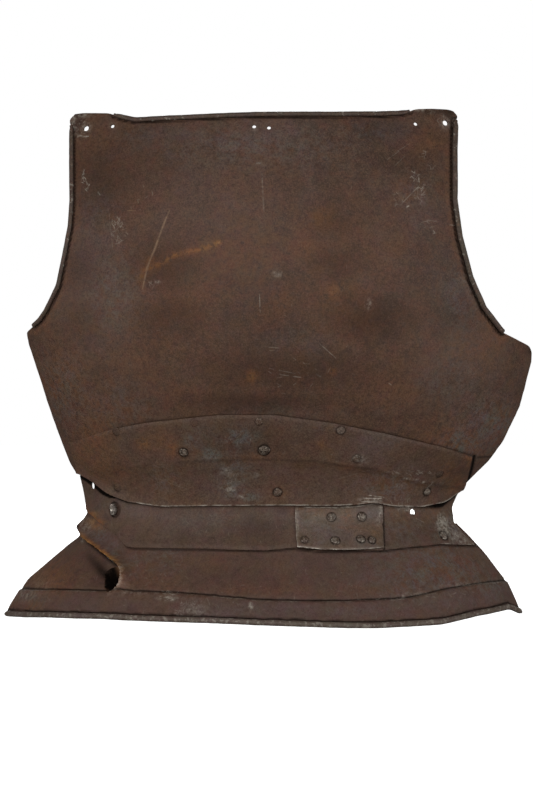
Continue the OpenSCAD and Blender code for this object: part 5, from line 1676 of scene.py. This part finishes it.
rivets("band_rivets_lower", [spec(p, GAP + lift_l[k], waist_in_o, 9 + k, h=(0.4, 1.3, 1.4)[k], worn=(0, 0.12, 0.3)[k], bare=(0.1, 0.9, 1.0)[k])
                             for k, p in enumerate(LOWER)], MAT["band"], "band_lower_rivets")
rivets("patch_rivets_upper", [spec(PATCH_UPPER[0], PATCH_OUT, skirt_in_o, 13, 7.2, 1.3, worn=0.15), spec(PATCH_UPPER[1], PATCH_OUT, skirt_in_o, 14, 7.4, 1.7, worn=0.4)],
       MAT["rivet"], "patch_upper_rivets")
rivets("patch_rivets_lower", [spec(p, PATCH_OUT, skirt_in_o, 15 + k, (6.6, 7.2, 6.8, 6.4)[k], (0.7, 1.5, 1.6, 1.5)[k], 5.4, worn=(0, 0.25, 0.25, 0.2)[k])
                              for k, p in enumerate(PATCH_LOWER)], MAT["rivet"], "patch_lower_rivets")
rivets("waist_rivets_flush", [spec(p, WAIST_OUT, skirt_in_o, 20 + k, 5.8, 0.14, grit=0.1, bare=0.1) for k, p in enumerate(FLUSH)],
       MAT["waist"], "waist_skirt_rivets")
rivets("skirt_rivet_corner", [spec(CORNER, WAIST_OUT, skirt_in_o, 23, 7.6, 1.5, worn=0.6)], MAT["rivet"], "skirt_corner_rivet")


def belt_rivet():
    """The loose rivet: a tall worn head that stands proud of the plate."""
    hi, lo = WAIST_OUT + 2.4, waist_in_o - 1.5
    v, f, a = rivet_mesh(BELT[0], BELT[1], hi, lo, 9.6, 2.3, 6.0, 1.4, 31, squash=(0.70, 1.06), shank=1.54, worn=0.45, dish=0.45)
    return new_object("belt_rivet_iron", seat(v), f, a, MAT["belt"], "loose_rivet", ["belt_rivet"], angle=50)


belt_rivet()


def washer():
    """A cut disk with a round hole, a little out of true."""
    e1, e2, nn = axes_at(*BELT)
    r = float(relief(np.array(float(BELT[0])), np.array(float(BELT[1]))))
    base = on_body(np.array(float(BELT[0])), np.array(float(BELT[1])), r * 0 + waist_in_o - 1.4)
    segs = 40
    ang = np.arange(segs) * 2 * np.pi / segs
    rim = 4.45 * (1 - 0.02 * (1 + np.cos(3 * ang + 1)) - 0.012 * (1 + np.cos(7 * ang)))
    prof = [(1.62, 0.0), (1.62, 1.0), (2.2, 1.0), (None, 1.0, -0.25), (None, 0.85, 0.0), (None, 0.15, 0.0), (None, 0.0, -0.2), (2.2, 0.0)]
    verts, faces = [], []
    for row in prof:
        for s in range(segs):
            rad = row[0] if row[0] is not None else rim[s] + row[2]
            verts.append(base + row[1] * nn + rad * (math.cos(ang[s]) * e1 + math.sin(ang[s]) * e2))
    k = len(prof)
    for a in range(k):
        b = (a + 1) % k
        for s in range(segs):
            t = (s + 1) % segs
            faces.append([b * segs + s, b * segs + t, a * segs + t, a * segs + s])
    v = np.array(verts)
    edge = np.concatenate([np.full(segs, 0.7 if row[0] is None else 0.2) for row in prof])
    return new_object("belt_washer_iron", seat(v), faces, {"edge": edge}, MAT["washer"], "loose_washer",
                      ["belt_washer"], angle=40)


washer()

# --- the studio --------------------------------------------------------------------------------
floor = bpy.data.meshes.new("floor")
floor.from_pydata([(-8, -8, -0.0006), (8, -8, -0.0006), (8, 8, -0.0006), (-8, 8, -0.0006)], [], [(0, 1, 2, 3)])
floor_ob = bpy.data.objects.new("floor", floor)
bpy.context.scene.collection.objects.link(floor_ob)
floor.materials.append(stage_material("pale_floor", (0.5, 0.5, 0.5), 0.97))
floor_ob.visible_diffuse = False
floor_ob.visible_glossy = False

scene = bpy.context.scene
world = bpy.data.worlds.new("studio")
scene.world = world
world.use_nodes = True
nt = world.node_tree
nt.nodes.clear()
w_out = nt.nodes.new("ShaderNodeOutputWorld")
bg_seen = nt.nodes.new("ShaderNodeBackground")
bg_seen.inputs["Color"].default_value = (1, 1, 1, 1)
bg_seen.inputs["Strength"].default_value = 1.0
bg_light = nt.nodes.new("ShaderNodeBackground")
bg_light.inputs["Color"].default_value = (1, 1, 1, 1)
bg_light.inputs["Strength"].default_value = 0.16
path = nt.nodes.new("ShaderNodeLightPath")
w_mix = nt.nodes.new("ShaderNodeMixShader")
nt.links.new(path.outputs["Is Camera Ray"], w_mix.inputs[0])
nt.links.new(bg_light.outputs[0], w_mix.inputs[1])
nt.links.new(bg_seen.outputs[0], w_mix.inputs[2])
nt.links.new(w_mix.outputs[0], w_out.inputs[0])


def area(name, place, target, size, power, size_y=None):
    data = bpy.data.lights.new(name, "AREA")
    data.energy = power
    data.shape = "RECTANGLE"
    data.size = size
    data.size_y = size_y or size
    ob = bpy.data.objects.new(name, data)
    ob.location = place
    d = Vector(target) - Vector(place)
    ob.rotation_euler = d.to_track_quat("-Z", "Y").to_euler()
    scene.collection.objects.link(ob)
    return ob


area("key_top", (-0.1, -1.95, 0.74), (0, 0, 0.22), 1.2, 22.5, 0.7)
area("fill_left", (-1.65, -1.0, 0.12), (0, 0, 0.10), 0.9, 19.5, 0.6)
area("fill_right", (1.7, -0.95, 0.12), (0, 0, 0.10), 0.9, 21, 0.6)
area("back", (0, 2.3, 0.75), (0, 0, 0.2), 0.7, 42, 0.9)

cam = bpy.data.cameras.new("camera")
cam.lens = 112.5
cam.sensor_width = 36
cam.sensor_fit = "AUTO"
cam.clip_start, cam.clip_end = 0.05, 60
cam_ob = bpy.data.objects.new("camera", cam)
cam_ob.location = (0, -2.0555, 0.1833)
cam_ob.rotation_euler = (math.radians(90), 0, 0)
scene.collection.objects.link(cam_ob)
scene.camera = cam_ob
scene.view_settings.view_transform = "Standard"
scene.view_settings.look = "None"
